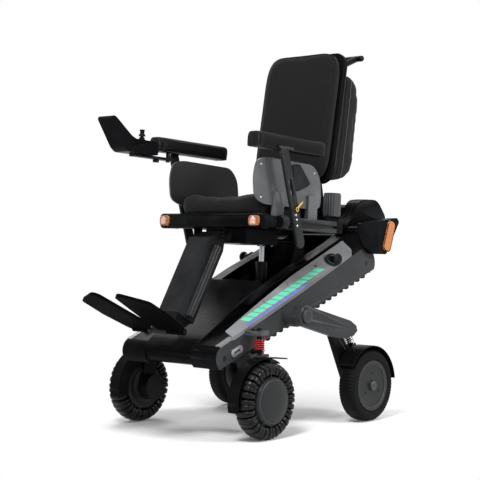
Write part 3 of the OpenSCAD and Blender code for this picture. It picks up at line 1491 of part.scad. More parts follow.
module left_rear_link() { rear_link(1); }
module right_rear_link() { rear_link(-1); }
module left_swing_arm() { rear_swing_arm(1); }
module right_swing_arm() { rear_swing_arm(-1); }
module left_rear_fender() { rear_fender(1); }
module right_rear_fender() { rear_fender(-1); }
module left_rear_spring() { rear_spring(1); }
module right_rear_spring() { rear_spring(-1); }
module left_rear_hub() { rear_hub(1); }
module right_rear_hub() { rear_hub(-1); }
module left_rear_tyre() { rear_tyre(1); }
module right_rear_tyre() { rear_tyre(-1); }
module left_front_carrier() { front_carrier(1); }
module right_front_carrier() { front_carrier(-1); }
module left_front_fender() { front_fender(1); }
module right_front_fender() { front_fender(-1); }
module left_front_spring() { front_spring(1); }
module right_front_spring() { front_spring(-1); }
module left_front_hub() { front_hub(1); }
module right_front_hub() { front_hub(-1); }
module left_front_rollers() { front_rollers(1); }
module right_front_rollers() { front_rollers(-1); }
module left_arm_post() { arm_post(1); }
module right_arm_post() { arm_post(-1); }
module left_arm_pad() { arm_pad(1); }
module right_arm_pad() { arm_pad(-1); }
module left_release_lever() { release_lever(1); }
module right_release_lever() { release_lever(-1); }
module left_footplate() { footplate(1); }
module right_footplate() { footplate(-1); }

echo(origin_y = mid_y);
echo(rear_spring_gap = wire_gap(rear_turns, shock_len - 2 * shock_cup_h));
echo(front_spring_gap = wire_gap(front_turns, guide_up - spring_seat_up));
echo(pivot = pivot, recline = recline, arm_pivot = arm_pivot, leg = [leg_y, leg_z], foot = [foot_y, foot_z]);
echo(rear_arm = [arm_y, arm_z], swing = [swing_y, swing_z], rear_axle = [wheelbase, axle_z]);
echo(tube_pin = tube_pin, rod_pin = rod_pin, act_lean = act_lean);
echo(idler = [idler_y, idler_z], sprocket = [sprocket_y, sprocket_z]);

place() body_shell();
place() side_plates();
place() side_covers();
place() track_belts();
place() tail_cover();
place() tail_lamp_lenses();
place() battery_pack();
place() seat_mast();
place() chassis_fasteners();
place() drive_axle();
place() idler_axle();
place() tilt_actuator();
place() actuator_rod();
place() left_rear_link();
place() left_swing_arm();
place() left_rear_fender();
place() left_rear_spring();
place() left_rear_hub();
place() left_rear_tyre();
place() right_rear_link();
place() right_swing_arm();
place() right_rear_fender();
place() right_rear_spring();
place() right_rear_hub();
place() right_rear_tyre();
place() left_front_carrier();
place() left_front_fender();
place() left_front_spring();
place() left_front_hub();
place() left_front_rollers();
place() right_front_carrier();
place() right_front_fender();
place() right_front_spring();
place() right_front_hub();
place() right_front_rollers();
place() seat_frame();
place() seat_rails();
place() seat_cushion();
place() marker_lamps();
place() control_box();
place() recline_motors();
place() side_panels();
place() left_arm_post();
place() left_arm_pad();
place() left_release_lever();
place() right_arm_post();
place() right_arm_pad();
place() right_release_lever();
place() back_shell();
place() back_cushion();
place() push_frame();
place() back_bag();
place() leg_column();
place() leg_rails();
place() left_footplate();
place() right_footplate();
place() control_bracket();
place() control_pod();
place() joystick_gimbal();
place() joystick();
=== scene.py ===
import json
import math

import bmesh
import bpy
import numpy as np
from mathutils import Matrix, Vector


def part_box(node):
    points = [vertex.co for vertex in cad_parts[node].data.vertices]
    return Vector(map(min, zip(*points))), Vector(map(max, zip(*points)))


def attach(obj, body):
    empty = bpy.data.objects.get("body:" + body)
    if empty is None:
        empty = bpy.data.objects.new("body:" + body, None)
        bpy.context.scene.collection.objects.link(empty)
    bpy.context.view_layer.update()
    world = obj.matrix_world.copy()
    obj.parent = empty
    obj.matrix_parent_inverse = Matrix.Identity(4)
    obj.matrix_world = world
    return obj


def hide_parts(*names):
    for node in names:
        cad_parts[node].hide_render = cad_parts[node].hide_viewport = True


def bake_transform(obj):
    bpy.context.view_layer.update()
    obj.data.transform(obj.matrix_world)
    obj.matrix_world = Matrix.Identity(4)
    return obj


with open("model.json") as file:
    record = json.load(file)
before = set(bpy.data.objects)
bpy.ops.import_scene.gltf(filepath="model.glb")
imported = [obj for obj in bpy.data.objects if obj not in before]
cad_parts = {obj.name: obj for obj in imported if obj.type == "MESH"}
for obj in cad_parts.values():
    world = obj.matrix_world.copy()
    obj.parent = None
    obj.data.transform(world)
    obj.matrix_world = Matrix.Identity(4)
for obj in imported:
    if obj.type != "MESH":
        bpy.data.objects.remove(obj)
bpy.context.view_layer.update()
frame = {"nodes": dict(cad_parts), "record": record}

scene = bpy.context.scene
MM = 0.001
SIDES = (("left", 1), ("right", -1))
UP = (0, 0, 1)

# The front axle's place along the frame
hub_low, hub_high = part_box("left_front_hub")
AXLE_Y = (hub_low.y + hub_high.y) / 2
# Origin along and up, and lean in degrees, of the seat and of the back
SEAT = (70.0, 702.0, 3.5)
BACK = (535.86, 734.62, 11.3)
# Where the arms stand along the seat and across it
ARM_BACK, ARM_X = 136.0, 226
# The light cover's lower front corner, its pitch along and its slope across in degrees
COVER_CORNER = (213.0, -68.0, 327.5)
COVER_PITCH, COVER_SLOPE = 21.4, 40.0


def chair(points):
    """Chair millimetres to frame metres: scaled down and moved along to the front axle."""
    return np.asarray(points, float) * MM + np.array([0, AXLE_Y, 0])


def leaned(points, origin):
    """Points given in a frame that leans back about x: along turns into down by the lean's sine."""
    p = np.asarray(points, float)
    along, up, lean = origin
    c, s = math.cos(math.radians(lean)), math.sin(math.radians(lean))
    y, z = p[..., 1], p[..., 2]
    return chair(np.stack([p[..., 0], along + y * c + z * s, up - y * s + z * c], -1))


def local(points, origin):
    """Frame metres back to the millimetres of a leaning frame: the inverse of leaned."""
    along, up, lean = origin
    c, s = math.cos(math.radians(lean)), math.sin(math.radians(lean))
    p = (np.asarray(points, float) - np.array([0, AXLE_Y, 0])) / MM
    y, z = p[..., 1] - along, p[..., 2] - up
    return np.stack([p[..., 0], y * c - z * s, y * s + z * c], -1)


def on_cover(points, side):
    """Points across, along and off the sloping light cover: turned by its slope, then its pitch."""
    p = np.asarray(points, float)
    slope, pitch = math.radians(COVER_SLOPE), math.radians(COVER_PITCH)
    x = p[..., 0] * math.cos(slope) + p[..., 2] * math.sin(slope)
    z = p[..., 2] * math.cos(slope) - p[..., 0] * math.sin(slope)
    y = p[..., 1] * math.cos(pitch) - z * math.sin(pitch)
    z = p[..., 1] * math.sin(pitch) + z * math.cos(pitch)
    return chair(np.stack([x, y, z], -1) + np.array(COVER_CORNER)) * np.array([side, 1, 1])


# Sizes of the broad colour changes in millimetres, and how much of the paler edge colour a pointed edge
# takes: rubbed wear on most finishes, a painted highlight on the footplates
BLOTCH, DYE, CREASED, GLOW = 70, 90, 60, 30
RUBBED_AND_GLINT = 0.8
# How pointed a spot is where the paler edge starts and where it is full, and the range that noise mostly
# keeps to
RIDGE, NOISE_SPAN = (0.52, 0.6), (0.3, 0.7)
# Bands that a wave texture of scale 1 draws in a metre
WAVES_PER_UNIT = 3.2


def linear(code):
    """An sRGB hex colour as the linear colour that shaders read."""
    c = np.array([int(code[i : i + 2], 16) for i in (1, 3, 5)]) / 255
    c = np.where(c <= 0.04045, c / 12.92, ((c + 0.055) / 1.055) ** 2.4)
    return (*c.tolist(), 1.0)


def set_inputs(tree, node, inputs):
    """Gives a node's sockets their values: each is a plain value or another node's output."""
    for key, value in inputs.items():
        if isinstance(value, bpy.types.NodeSocket):
            tree.links.new(value, node.inputs[key])
        else:
            node.inputs[key].default_value = value


def add(tree, kind, inputs=None, **settings):
    """Adds one node: settings are its own properties, inputs go to its sockets."""
    node = tree.nodes.new(kind)
    for name, value in settings.items():
        setattr(node, name, value)
    set_inputs(tree, node, inputs or {})
    return node


def per_mm(size):
    """How many times a pattern of that size in millimetres repeats in a metre."""
    return 1.0 / (size * MM)


def noise(tree, place, size, detail):
    """Soft random spots of that size in millimetres."""
    inputs = {"Vector": place, "Scale": per_mm(size), "Detail": detail}
    return add(tree, "ShaderNodeTexNoise", inputs).outputs[0]


def waves(tree, place, spacing, way, bend=0.0):
    """Bands across one axis, that far apart in millimetres."""
    inputs = {"Vector": place, "Scale": per_mm(spacing) / WAVES_PER_UNIT, "Distortion": bend}
    return add(tree, "ShaderNodeTexWave", inputs, bands_direction=way).outputs["Fac"]


def maths(tree, operation, first, second):
    """Two numbers joined by one operation."""
    return add(tree, "ShaderNodeMath", {0: first, 1: second}, operation=operation).outputs[0]


def ranged(tree, value, start, end, low=0.0, high=1.0, curve="LINEAR"):
    """A number carried from one range to another and held inside it."""
    inputs = {"Value": value, "From Min": start, "From Max": end, "To Min": low, "To Max": high}
    return add(tree, "ShaderNodeMapRange", inputs, interpolation_type=curve).outputs[0]


def mixed(tree, share, first, second):
    """A colour between two others, by a share from 0 to 1."""
    return add(tree, "ShaderNodeMix", {0: share, 6: first, 7: second}, data_type="RGBA").outputs[2]


def bumped(tree, height, strength, depth):
    """The surface's direction tilted by a height that reaches so many millimetres."""
    inputs = {"Height": height, "Strength": strength, "Distance": depth * MM}
    return add(tree, "ShaderNodeBump", inputs).outputs[0]


def shades(colour, *factors):
    """One colour made darker or lighter by each factor."""
    base = np.array(linear(colour))
    return [tuple(base * f) for f in factors]


def blank(name):
    """An empty material with its shader and the piece's own coordinates."""
    m = bpy.data.materials.new(name)
    m.use_nodes = True
    tree = m.node_tree
    return m, tree, tree.nodes["Principled BSDF"], add(tree, "ShaderNodeTexCoord").outputs["Object"]


def hard(name, colour, worn_and_glint, rough, grain, depth, metal=0.0, coat=0.0, gloss=0.12, inner=None):
    """A hard finish: grain of that width and depth in millimetres, faint blotches, and paler pointed edges,
    which are rubbed wear on most finishes and a painted highlight on the footplates'. Faces turned to the
    chair's middle may have an inner colour of their own."""
    m, tree, shader, place = blank(name)
    fine, blotch = noise(tree, place, grain, 2.0), noise(tree, place, BLOTCH, 5.0)
    ridge = add(tree, "ShaderNodeNewGeometry").outputs["Pointiness"]
    # Paler pointed edges: rubbed wear, and on the footplates' finish a painted highlight
    wear_and_glint = maths(tree, "MULTIPLY", ranged(tree, ridge, *RIDGE, 0.0, RUBBED_AND_GLINT), blotch)
    tone = mixed(tree, blotch, *shades(colour, 0.86, 1.14))
    paint = mixed(tree, wear_and_glint, tone, linear(worn_and_glint))
    if inner:
        facing = add(tree, "ShaderNodeTexCoord").outputs["Normal"]
        away = add(tree, "ShaderNodeVectorMath", {0: place, 1: facing}, operation="MULTIPLY").outputs[0]
        across = add(tree, "ShaderNodeSeparateXYZ", {0: away}).outputs["X"]
        paint = mixed(tree, ranged(tree, across, -0.1, 0.0), linear(inner), paint)
    set_inputs(tree, shader, {
        "Base Color": paint,
        "Roughness": ranged(tree, blotch, *NOISE_SPAN, rough - 0.05, rough + 0.06),
        "Normal": bumped(tree, fine, 0.6, depth),
        "Metallic": metal,
        "Specular IOR Level": 0.5 if metal else gloss,
        "Coat Weight": coat,
        "Coat Roughness": 0.15,
    })
    return m


def woven(name, colour, thread, depth, sheen, rough=0.85):
    """Woven cloth: two crossing sets of threads of that spacing in millimetres, with uneven dye, painted
    light on the threads' crossings and painted shade between them, and a soft sheen."""
    m, tree, shader, place = blank(name)
    over, under = (waves(tree, place, thread, way, 0.4) for way in "XZ")
    cross = maths(tree, "MULTIPLY", over, under)
    # Painted light and shade on the weave: raised crossings paler, the hollows between threads darker
    faded, dark, light = shades(colour, 0.75, 0.7, 1.35)
    set_inputs(tree, shader, {
        "Base Color": mixed(tree, noise(tree, place, DYE, 6.0), faded, mixed(tree, cross, dark, light)),
        "Normal": bumped(tree, cross, 0.5, depth),
        "Roughness": rough,
        "Specular IOR Level": 0.12,
        "Sheen Weight": sheen,
        "Sheen Roughness": 0.5,
    })
    return m


def grained(name, colour, cell, depth, rough):
    """Coated foam or leather: pebbled cells of that width in millimetres, with painted light on the pebbles'
    tops and painted shade in the creases between them."""
    m, tree, shader, place = blank(name)
    inputs = {"Vector": place, "Scale": per_mm(cell)}
    cells = add(tree, "ShaderNodeTexVoronoi", inputs, feature="SMOOTH_F1").outputs["Distance"]
    blotch = noise(tree, place, CREASED, 5.0)
    # Painted light and shade: each pebble's top paler, the creases between pebbles darker
    dull, top, crease = shades(colour, 0.85, 1.1, 0.8)
    pebble_light_and_shade = mixed(tree, ranged(tree, cells, 0.0, 0.7), top, crease)
    set_inputs(tree, shader, {
        "Base Color": mixed(tree, blotch, dull, pebble_light_and_shade),
        "Roughness": ranged(tree, blotch, *NOISE_SPAN, rough - 0.08, rough + 0.08),
        "Normal": bumped(tree, cells, 0.35, -depth),
        "Specular IOR Level": 0.1,
    })
    return m


def lens(name, colour, deep, rib, depth):
    """A moulded lamp lens: prism ribs of that spacing in millimetres under a smooth clear face, their crests
    painted paler in soft patches as a painted glow.
    """
    m, tree, shader, place = blank(name)
    ribs = waves(tree, place, rib, "Z")
    # Painted glow: the rib crests turn paler in soft patches, as if light shone through the lens
    painted_glow = maths(tree, "MULTIPLY", ribs, noise(tree, place, GLOW, 3.0))
    set_inputs(tree, shader, {
        "Base Color": mixed(tree, painted_glow, linear(deep), linear(colour)),
        "Normal": bumped(tree, ribs, 0.3, depth),
        "Roughness": 0.18,
        "Coat Weight": 0.4,
        "Coat Roughness": 0.04,
        "IOR": 1.49,
    })
    return m


# One finish for each material slot. Grain finer than a millimetre or two is drawn at about four, so that it
# shows at the render's scale. The blacks have little gloss, since the white surround would grey them.
FINISH = {
    # Textured black ABS of the shell and tail: nearly matt
    "shell_plastic": hard("black_abs_spark_grained", "#0a0a0b", "#34363a", 0.3, 4.0, 0.08, gloss=0.02),
    # Powder-coated aluminium plate: charcoal with a slight orange peel
    "plate_metal": hard("charcoal_powder_coat", "#353637", "#707275", 0.42, 5.0, 0.12),
    # Lacquered light covers: smooth mid grey under a thin clear coat
    "cover_plastic": hard("silver_grey_lacquered_abs", "#636465", "#97989a", 0.38, 6.0, 0.05, coat=0.1),
    # Moulded track rubber: dull, coarse and dusty
    "belt_rubber": hard("black_track_rubber", "#0f0f10", "#3a3937", 0.78, 3.5, 0.25),
    # Tail lamps: amber with level ribs and a wet shine
    "lamp_amber": lens("amber_acrylic_ribbed", "#c9772e", "#b96a25", 10.0, 0.1),
    # Black powder coat on steel brackets and tubes
    "dark_metal": hard("black_powder_coat", "#0b0b0c", "#5a5c5f", 0.3, 4.5, 0.10, gloss=0.08),
    # Zinc plated screws and polished rods: pale and mirror-like
    "bright_steel": hard("bright_zinc_plate", "#a9acb0", "#dcdddf", 0.28, 3.0, 0.03, metal=1.0),
    # Black anodised extrusion: smooth, with pale corners
    "rail_aluminium": hard("black_anodised_extrusion", "#161718", "#7d7f83", 0.3, 3.0, 0.04, gloss=0.16),
    # Front coils: red enamel with a clear shine
    "spring_red": hard("red_enamelled_wire", "#92131a", "#c24a48", 0.3, 4.0, 0.05, coat=0.4),
    # Rear coils: bright plated wire
    "spring_silver": hard("plated_spring_wire", "#c3c5c8", "#eeeeef", 0.25, 3.0, 0.03, metal=1.0),
    # Rear tyres: dull black rubber
    "tyre_rubber": hard("black_tyre_rubber", "#0b0b0c", "#2c2b2a", 0.55, 3.5, 0.2, gloss=0.08),
    # Front rollers: smooth rubber with soft highlights
    "roller_rubber": hard("black_roller_rubber", "#080808", "#3c3c3d", 0.28, 4.0, 0.08, gloss=0.2),
    # Moulded nylon of hubs and drums: dark grey satin
    "hub_plastic": hard("black_nylon_moulded", "#19191a", "#4f5154", 0.32, 4.0, 0.06),
    # Cushions: thick knit with a faint sheen
    "cushion_fabric": woven("black_spacer_knit", "#181819", 4.0, 0.35, 0.08),
    # Side panels: grey satin outside, near black inside
    "panel_plastic": hard("grey_abs_satin", "#57585a", "#87898b", 0.4, 4.0, 0.08, gloss=0.2, inner="#29292a"),
    # Arm pads: pebbled foam skin
    "pad_leather": grained("black_foam_skin", "#0b0b0c", 5.0, 0.2, 0.38),
    # Release levers: polished brass
    "lever_brass": hard("polished_brass", "#c9a24a", "#f0d58c", 0.24, 3.0, 0.03, metal=1.0),
    # Bag: coated nylon, smoother than the cushions
    "bag_fabric": woven("black_coated_nylon", "#141415", 4.5, 0.25, 0.05, 0.55),
    # Motor housings: cast grey metal
    "motor_metal": hard("cast_aluminium_ribbed", "#343537", "#7a7c7f", 0.36, 4.0, 0.12, gloss=0.3),
    # Knobs, boots and end caps: soft black
    "knob_plastic": hard("black_soft_touch", "#0a0a0b", "#4a4c4f", 0.36, 4.0, 0.05, gloss=0.08),
}
# Printed film bars on the light cover: flat colour under a thin gloss
MINT = hard("mint_printed_film", "#5fc9a6", "#8fdcc4", 0.32, 5.0, 0.03, coat=0.2)
PERIWINKLE = hard("periwinkle_printed_film", "#656cb8", "#979cd6", 0.32, 5.0, 0.03, coat=0.2)
# Marker lamps: a pale facetted core in a deep amber body
CLEAR = lens("clear_polycarbonate_lens", "#e3cbbf", "#c79f8e", 18.0, 0.2)
MARKER = lens("amber_polycarbonate_deep", "#a8622c", "#8f5122", 10.0, 0.1)
# Controller glass: near black with a full gloss coat
SCREEN = hard("dark_display_glass", "#0d1013", "#1d2328", 0.1, 8.0, 0.01, coat=1.0)
# Zip teeth: grey against the bag
ZIP = hard("grey_zip_coil", "#3b3b3d", "#6c6c6e", 0.4, 3.0, 0.3)
# Faces of the wheel hubs: lighter and smoother than the rest of the hub
DOME = hard("grey_nylon_satin", "#212223", "#6a6c6f", 0.34, 4.0, 0.05, gloss=0.2)
# Footplates: deep matt black, with a painted highlight of paler grey along their rims
TREAD = hard("black_rubber_tread", "#050505", "#252627", 0.5, 4.0, 0.1, gloss=0.004)
# Seat frame: matt black powder coat
DEEP = hard("black_powder_coat_matt", "#070708", "#232425", 0.4, 4.5, 0.10, gloss=0.01)
# Rear links: charcoal powder coat, a shade darker than the plates
LINK = hard("grey_powder_coat", "#303132", "#66686b", 0.4, 4.5, 0.10)


def grid_faces(rows, columns, wrap_rows=False, wrap_columns=False):
    """Quads between neighbouring rows and columns of a grid, closed round where it wraps."""
    r = np.arange(rows if wrap_rows else rows - 1)[:, None]
    c = np.arange(columns if wrap_columns else columns - 1)[None, :]
    r2, c2 = (r + 1) % rows, (c + 1) % columns
    quads = np.stack([r * columns + c, r * columns + c2, r2 * columns + c2, r2 * columns + c], -1)
    return quads.reshape(-1, 4)


def several(parts):
    """Joins point sets and their quads into one: each set's quads count on from the points before it."""
    starts = np.cumsum([0] + [len(p) for p, _ in parts[:-1]])
    quads = [f + k for (_, f), k in zip(parts, starts)]
    return np.concatenate([p for p, _ in parts]), np.concatenate(quads)


def mirrored(half):
    """A run of points followed by its mirror image across x, in reverse."""
    return half + [(-x, *rest) for x, *rest in reversed(half)]


def eased(corners, reach, count=6):
    """A closed outline with soft corners: each is a square-law blend from a point that far before it, by way
    of the corner, to a point that far after it, and takes less than half of a side."""
    b = np.asarray(corners, float)
    before, after = np.roll(b, 1, 0) - b, np.roll(b, -1, 0) - b
    far_b, far_a = (np.linalg.norm(v, axis=1, keepdims=True) for v in (before, after))
    run = np.minimum(reach, 0.45 * np.minimum(far_b, far_a))
    a, c = b + before * run / far_b, b + after * run / far_a
    t = np.linspace(0, 1, count)[None, :, None]
    curve = (1 - t) ** 2 * a[:, None] + 2 * t * (1 - t) * b[:, None] + t**2 * c[:, None]
    return curve.reshape(-1, b.shape[1])


def spaced(path, count, closed=False):
    """The same path by points at equal steps of its length."""
    p = np.asarray(path, float)
    p = np.concatenate([p, p[:1]]) if closed else p
    run = np.concatenate([[0], np.cumsum(np.linalg.norm(np.diff(p, axis=0), axis=1))])
    want = np.linspace(0, run[-1], count, endpoint=not closed)
    return np.stack([np.interp(want, run, p[:, k]) for k in range(p.shape[1])], -1)


def stacked(outline, levels):
    """Rings of one flat outline, each set at its height and scaled about its middle, drawn shut at both
    ends."""
    o = np.asarray(outline, float)
    mid = o.mean(0)
    h, k = np.asarray([(levels[0][0], 0), *levels, (levels[-1][0], 0)], float).T
    flat = mid + k[:, None, None] * (o - mid)[None]
    rings = np.concatenate([flat, np.broadcast_to(h[:, None, None], (*flat.shape[:2], 1))], -1)
    return rings.reshape(-1, 3), grid_faces(len(h), len(o), False, True)


def tube(path, radius, hint, sides=10, closed=False):
    """A round section of that radius in millimetres carried along a path in metres: each ring is the path's
    point plus the cosine of the angle along one square direction and the sine along the other. The hint is
    a direction that the path never takes."""
    p = np.asarray(path, float)
    step = np.roll(p, -1, 0) - np.roll(p, 1, 0) if closed else np.gradient(p, axis=0)
    step /= np.linalg.norm(step, axis=1, keepdims=True)
    across = np.cross(step, np.asarray(hint, float))
    across /= np.linalg.norm(across, axis=1, keepdims=True)
    up = np.cross(across, step)
    a = np.linspace(0, 2 * np.pi, sides, endpoint=False)
    r = np.full(len(p), radius * MM)
    if not closed:
        p, across, up = (np.concatenate([v[:1], v, v[-1:]]) for v in (p, across, up))
        r = np.concatenate([[0], r, [0]])
    ring = np.cos(a)[None, :, None] * across[:, None] + np.sin(a)[None, :, None] * up[:, None]
    return (p[:, None] + r[:, None, None] * ring).reshape(-1, 3), grid_faces(len(p), sides, closed, True)


def turned(profile, middle, axis, start, count=72):
    """A profile of (out, along) in millimetres spun about an axis through a middle in metres: out times the
    cosine and sine, along times the axis."""
    out, along = (np.asarray(profile, float) * MM).T
    axis, start = np.asarray(axis, float), np.asarray(start, float)
    a = np.linspace(0, 2 * np.pi, count, endpoint=False)
    ring = np.cos(a)[:, None] * start + np.sin(a)[:, None] * np.cross(axis, start)
    points = np.asarray(middle, float) + out[:, None, None] * ring[None] + along[:, None, None] * axis
    return points.reshape(-1, 3), grid_faces(len(out), count, False, True)


def dress(obj, body, slot, finish=None, nodes=()):
    """Links a piece, gives it its finish, and lets it ride on a body in place of the CAD nodes named."""
    if obj.name not in scene.collection.objects:
        scene.collection.objects.link(obj)
    obj.data.materials.clear()
    obj.data.materials.append(finish or FINISH[slot])
    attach(obj, body)
    if nodes:
        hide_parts(*nodes)
    return obj


def quad_mesh(name, points, quads, crease=40):
    """A mesh from points and quads, with doubles merged, faces turned outwards and hard edges marked."""
    mesh = bpy.data.meshes.new(name)
    mesh.from_pydata(np.asarray(points).tolist(), [], np.asarray(quads).tolist())
    bm = bmesh.new()
    bm.from_mesh(mesh)
    bmesh.ops.remove_doubles(bm, verts=bm.verts, dist=1e-6)
    bmesh.ops.recalc_face_normals(bm, faces=bm.faces)
    bm.to_mesh(mesh)
    bm.free()
    mesh.shade_smooth()
    mesh.set_sharp_from_angle(angle=math.radians(crease))
    return mesh


def skin(name, shape, body, slot, finish=None, nodes=(), crease=40):
    """A piece made of points and quads."""
    return dress(bpy.data.objects.new(name, quad_mesh(name, *shape, crease)), body, slot, finish, nodes)


def merged(node, name):
    """A copy of a CAD node's triangles with doubles merged and flat neighbours joined into one face."""
    bm = bmesh.new()
    bm.from_mesh(frame["nodes"][node].data)
    bmesh.ops.remove_doubles(bm, verts=bm.verts, dist=2e-5)
    bmesh.ops.dissolve_limit(bm, angle_limit=math.radians(0.6), verts=bm.verts, edges=bm.edges)
    mesh = bpy.data.meshes.new(name)
    bm.to_mesh(mesh)
    bm.free()
    return mesh


def smoothed(obj):
    """Adds one subdivision to a piece."""
    soft = obj.modifiers.new("smooth", "SUBSURF")
    soft.levels = soft.render_levels = 1


# Edges that turn by more than this are rounded
SHARP = math.radians(32)


def broken_edges(node, width, body, slot, finish=None):
    """The CAD node's own shape with its sharp edges rounded to that width in millimetres."""
    name = node + "_finished"
    mesh = merged(node, name)
    obj = bpy.data.objects.new(name, mesh)
    scene.collection.objects.link(obj)
    bevel = obj.modifiers.new("edge", "BEVEL")
    bevel.width = width * MM
    bevel.segments = 3
    bevel.limit_method = "ANGLE"
    bevel.angle_limit = SHARP
    bevel.harden_normals = True
    mesh.shade_smooth()
    mesh.set_sharp_from_angle(angle=SHARP)
    return dress(obj, body, slot, finish, (node,))


subparts = {s["node"]: s["material_slot"] for s in frame["record"]["subparts"]}
body_of = {n: b for b, ns in frame["record"]["behaviour"]["bodies"].items() for n in ns}

# Edge widths in millimetres of the moulded, cast and cut pieces that keep their CAD shape; those of a pair
# stand without their side
EDGES = {
    "body_shell": 3.0, "side_plates": 2.0, "side_covers": 1.5, "tail_cover": 7.0, "battery_pack": 3.0,
    "seat_mast": 2.0, "seat_frame": 3.0, "control_box": 4.0, "side_panels": 2.0, "back_shell": 4.0,
    "leg_column": 4.0, "leg_rails": 0.8, "seat_rails": 0.8, "control_pod": 5.0, "control_bracket": 2.0,
    "tail_lamp_lenses": 2.0, "marker_lamps": 2.0, "recline_motors": 2.0, "tilt_actuator": 1.5,
}
PAIR_EDGES = {
    "footplate": 4.0, "arm_post": 1.5, "rear_link": 3.0, "swing_arm": 3.0, "rear_fender": 1.5,
    "front_fender": 1.5, "front_carrier": 2.0, "rear_hub": 2.0, "front_hub": 2.0,
}
# Pieces whose finish isn't their slot's usual one
OWN_FINISH = {"marker_lamps": MARKER, "seat_frame": DEEP}
PAIR_FINISH = {"rear_link": LINK, "footplate": TREAD, "rear_hub": DOME}
for node, width in EDGES.items():
    broken_edges(node, width, body_of[node], subparts[node], OWN_FINISH.get(node))
for pair, width in PAIR_EDGES.items():
    for side, _ in SIDES:
        node = f"{side}_{pair}"
        broken_edges(node, width, body_of[node], subparts[node], PAIR_FINISH.get(pair))


def remeshed(node, name, voxel, rounds):
    """The node's form as an even mesh of that cell in millimetres, its edges worn round by repeated
    averaging."""
    obj = bpy.data.objects.new(name + "_form", merged(node, name + "_form"))
    scene.collection.objects.link(obj)
    cells = obj.modifiers.new("cells", "REMESH")
    cells.mode = "VOXEL"
    cells.voxel_size = voxel * MM
    soft = obj.modifiers.new("round", "SMOOTH")
    soft.factor, soft.iterations = 0.5, rounds
    mesh = bpy.data.meshes.new_from_object(obj.evaluated_get(bpy.context.evaluated_depsgraph_get()))
    bpy.data.objects.remove(obj)
    mesh.name = name
    return mesh


def coordinates(mesh):
    """All points of a mesh as one array."""
    flat = np.empty(len(mesh.vertices) * 3)
    mesh.vertices.foreach_get("co", flat)
    return flat.reshape(-1, 3)


# Frames that the cloth solver runs for
SWELL_FRAMES = 20


def sewn(mesh, node, body, slot, cap, hold):
    """A padded piece: its form swollen by the cloth solver, moved by no more than cap millimetres, held clear
    of what carries it, then smoothed by one subdivision."""
    obj = bpy.data.objects.new(mesh.name, mesh)
    scene.collection.objects.link(obj)
    shape = rest = coordinates(mesh)
    cloth = obj.modifiers.new("swell", "CLOTH")
    cloth.settings.quality = 4
    cloth.settings.mass = 0.3
    cloth.settings.use_pressure = True
    cloth.settings.uniform_pressure_force = 4.0
    cloth.settings.effector_weights.gravity = 0.0
    cloth.collision_settings.use_collision = False
    cloth.point_cache.frame_start, cloth.point_cache.frame_end = 1, SWELL_FRAMES
    for step in range(1, SWELL_FRAMES + 1):
        scene.frame_set(step)
    after = coordinates(obj.evaluated_get(bpy.context.evaluated_depsgraph_get()).data)
    move = after - rest
    far = np.linalg.norm(move, axis=1, keepdims=True)
    shape = rest + move * np.minimum(1.0, cap * MM / np.maximum(far, 1e-9))
    obj.modifiers.clear()
    scene.frame_set(1)
    mesh.vertices.foreach_set("co", hold(shape).ravel())
    mesh.update()
    mesh.shade_smooth()
    smoothed(obj)
    dress(obj, body, slot, None, (node,))
    return obj


def held(origin, low, high):
    """Keeps points inside a box of the leaning frame, which is where the piece's neighbours leave room."""
    return lambda points: leaned(np.clip(local(points, origin), low, high), origin)


def on_cloth(path, obj, lift, closed=False):
    """A path laid on a padded piece: each point goes to the nearest point of the cloth, the path is averaged
    along itself, and it is lifted by so many millimetres along the cloth's outward direction."""
    p = np.asarray(path, float)
    cloth = coordinates(obj.data)
    out = np.empty(len(cloth) * 3)
    obj.data.vertex_normals.foreach_get("vector", out)
    far = (p**2).sum(1)[:, None] + (cloth**2).sum(1)[None] - 2 * p @ cloth.T
    near = far.argmin(1)
    p, up = cloth[near], out.reshape(-1, 3)[near]
    for _ in range(6):
        if closed:
            p, up = (0.5 * v + 0.25 * (np.roll(v, 1, 0) + np.roll(v, -1, 0)) for v in (p, up))
        else:
            inside = (0.5 * v[1:-1] + 0.25 * (v[:-2] + v[2:]) for v in (p, up))
            p, up = (np.concatenate([v[:1], i, v[-1:]]) for v, i in zip((p, up), inside))
    return p + up * lift * MM


# The room that its neighbours leave each padded piece, as two corners in the frame that it leans with
SEAT_ROOM = (-188, -12, 26.4), (188, 386, 200)
BACK_ROOM = (-171, -200, 88), (171, -56, 586)
BAG_ROOM = (-142, -38.2, 108), (142, 117, 523)
sewn(remeshed("seat_cushion", "seat_cushion_cover", 5.0, 4), "seat_cushion", "seat", "cushion_fabric",
     cap=7.0, hold=held(SEAT, *SEAT_ROOM))
back_pad = sewn(remeshed("back_cushion", "back_cushion_cover", 5.0, 4), "back_cushion", "backrest",
                "cushion_fabric", cap=3.0, hold=held(BACK, *BACK_ROOM))
bag = sewn(remeshed("back_bag", "back_bag_shell", 6.0, 14), "back_bag", "backrest", "bag_fabric",
           cap=3.5, hold=held(BACK, *BAG_ROOM))

# The bag's zip and seam run up one side, over the top and down the other, at two depths from the shell, and
# a little deeper on the sides
LINE_POINTS, PIPING_POINTS, SIDE_DEEPER = 240, 320, 8
BAG_LINES = (("bag_zip", 34.0, 2.4, ZIP), ("bag_seam", 10.0, 1.7, FINISH["bag_fabric"]))
for name, depth, radius, finish in BAG_LINES:
    low = depth + SIDE_DEEPER
    run = mirrored([(140, low, 138), (140, low, 300), (140, depth, 505), (60, depth, 520)])
    path = on_cloth(leaned(spaced(run, LINE_POINTS), BACK), bag, radius * 0.3)
    line = tube(spaced(path, LINE_POINTS), radius, (0.05, 1.0, 0.07))
    skin(name, line, "backrest", "bag_fabric", finish)
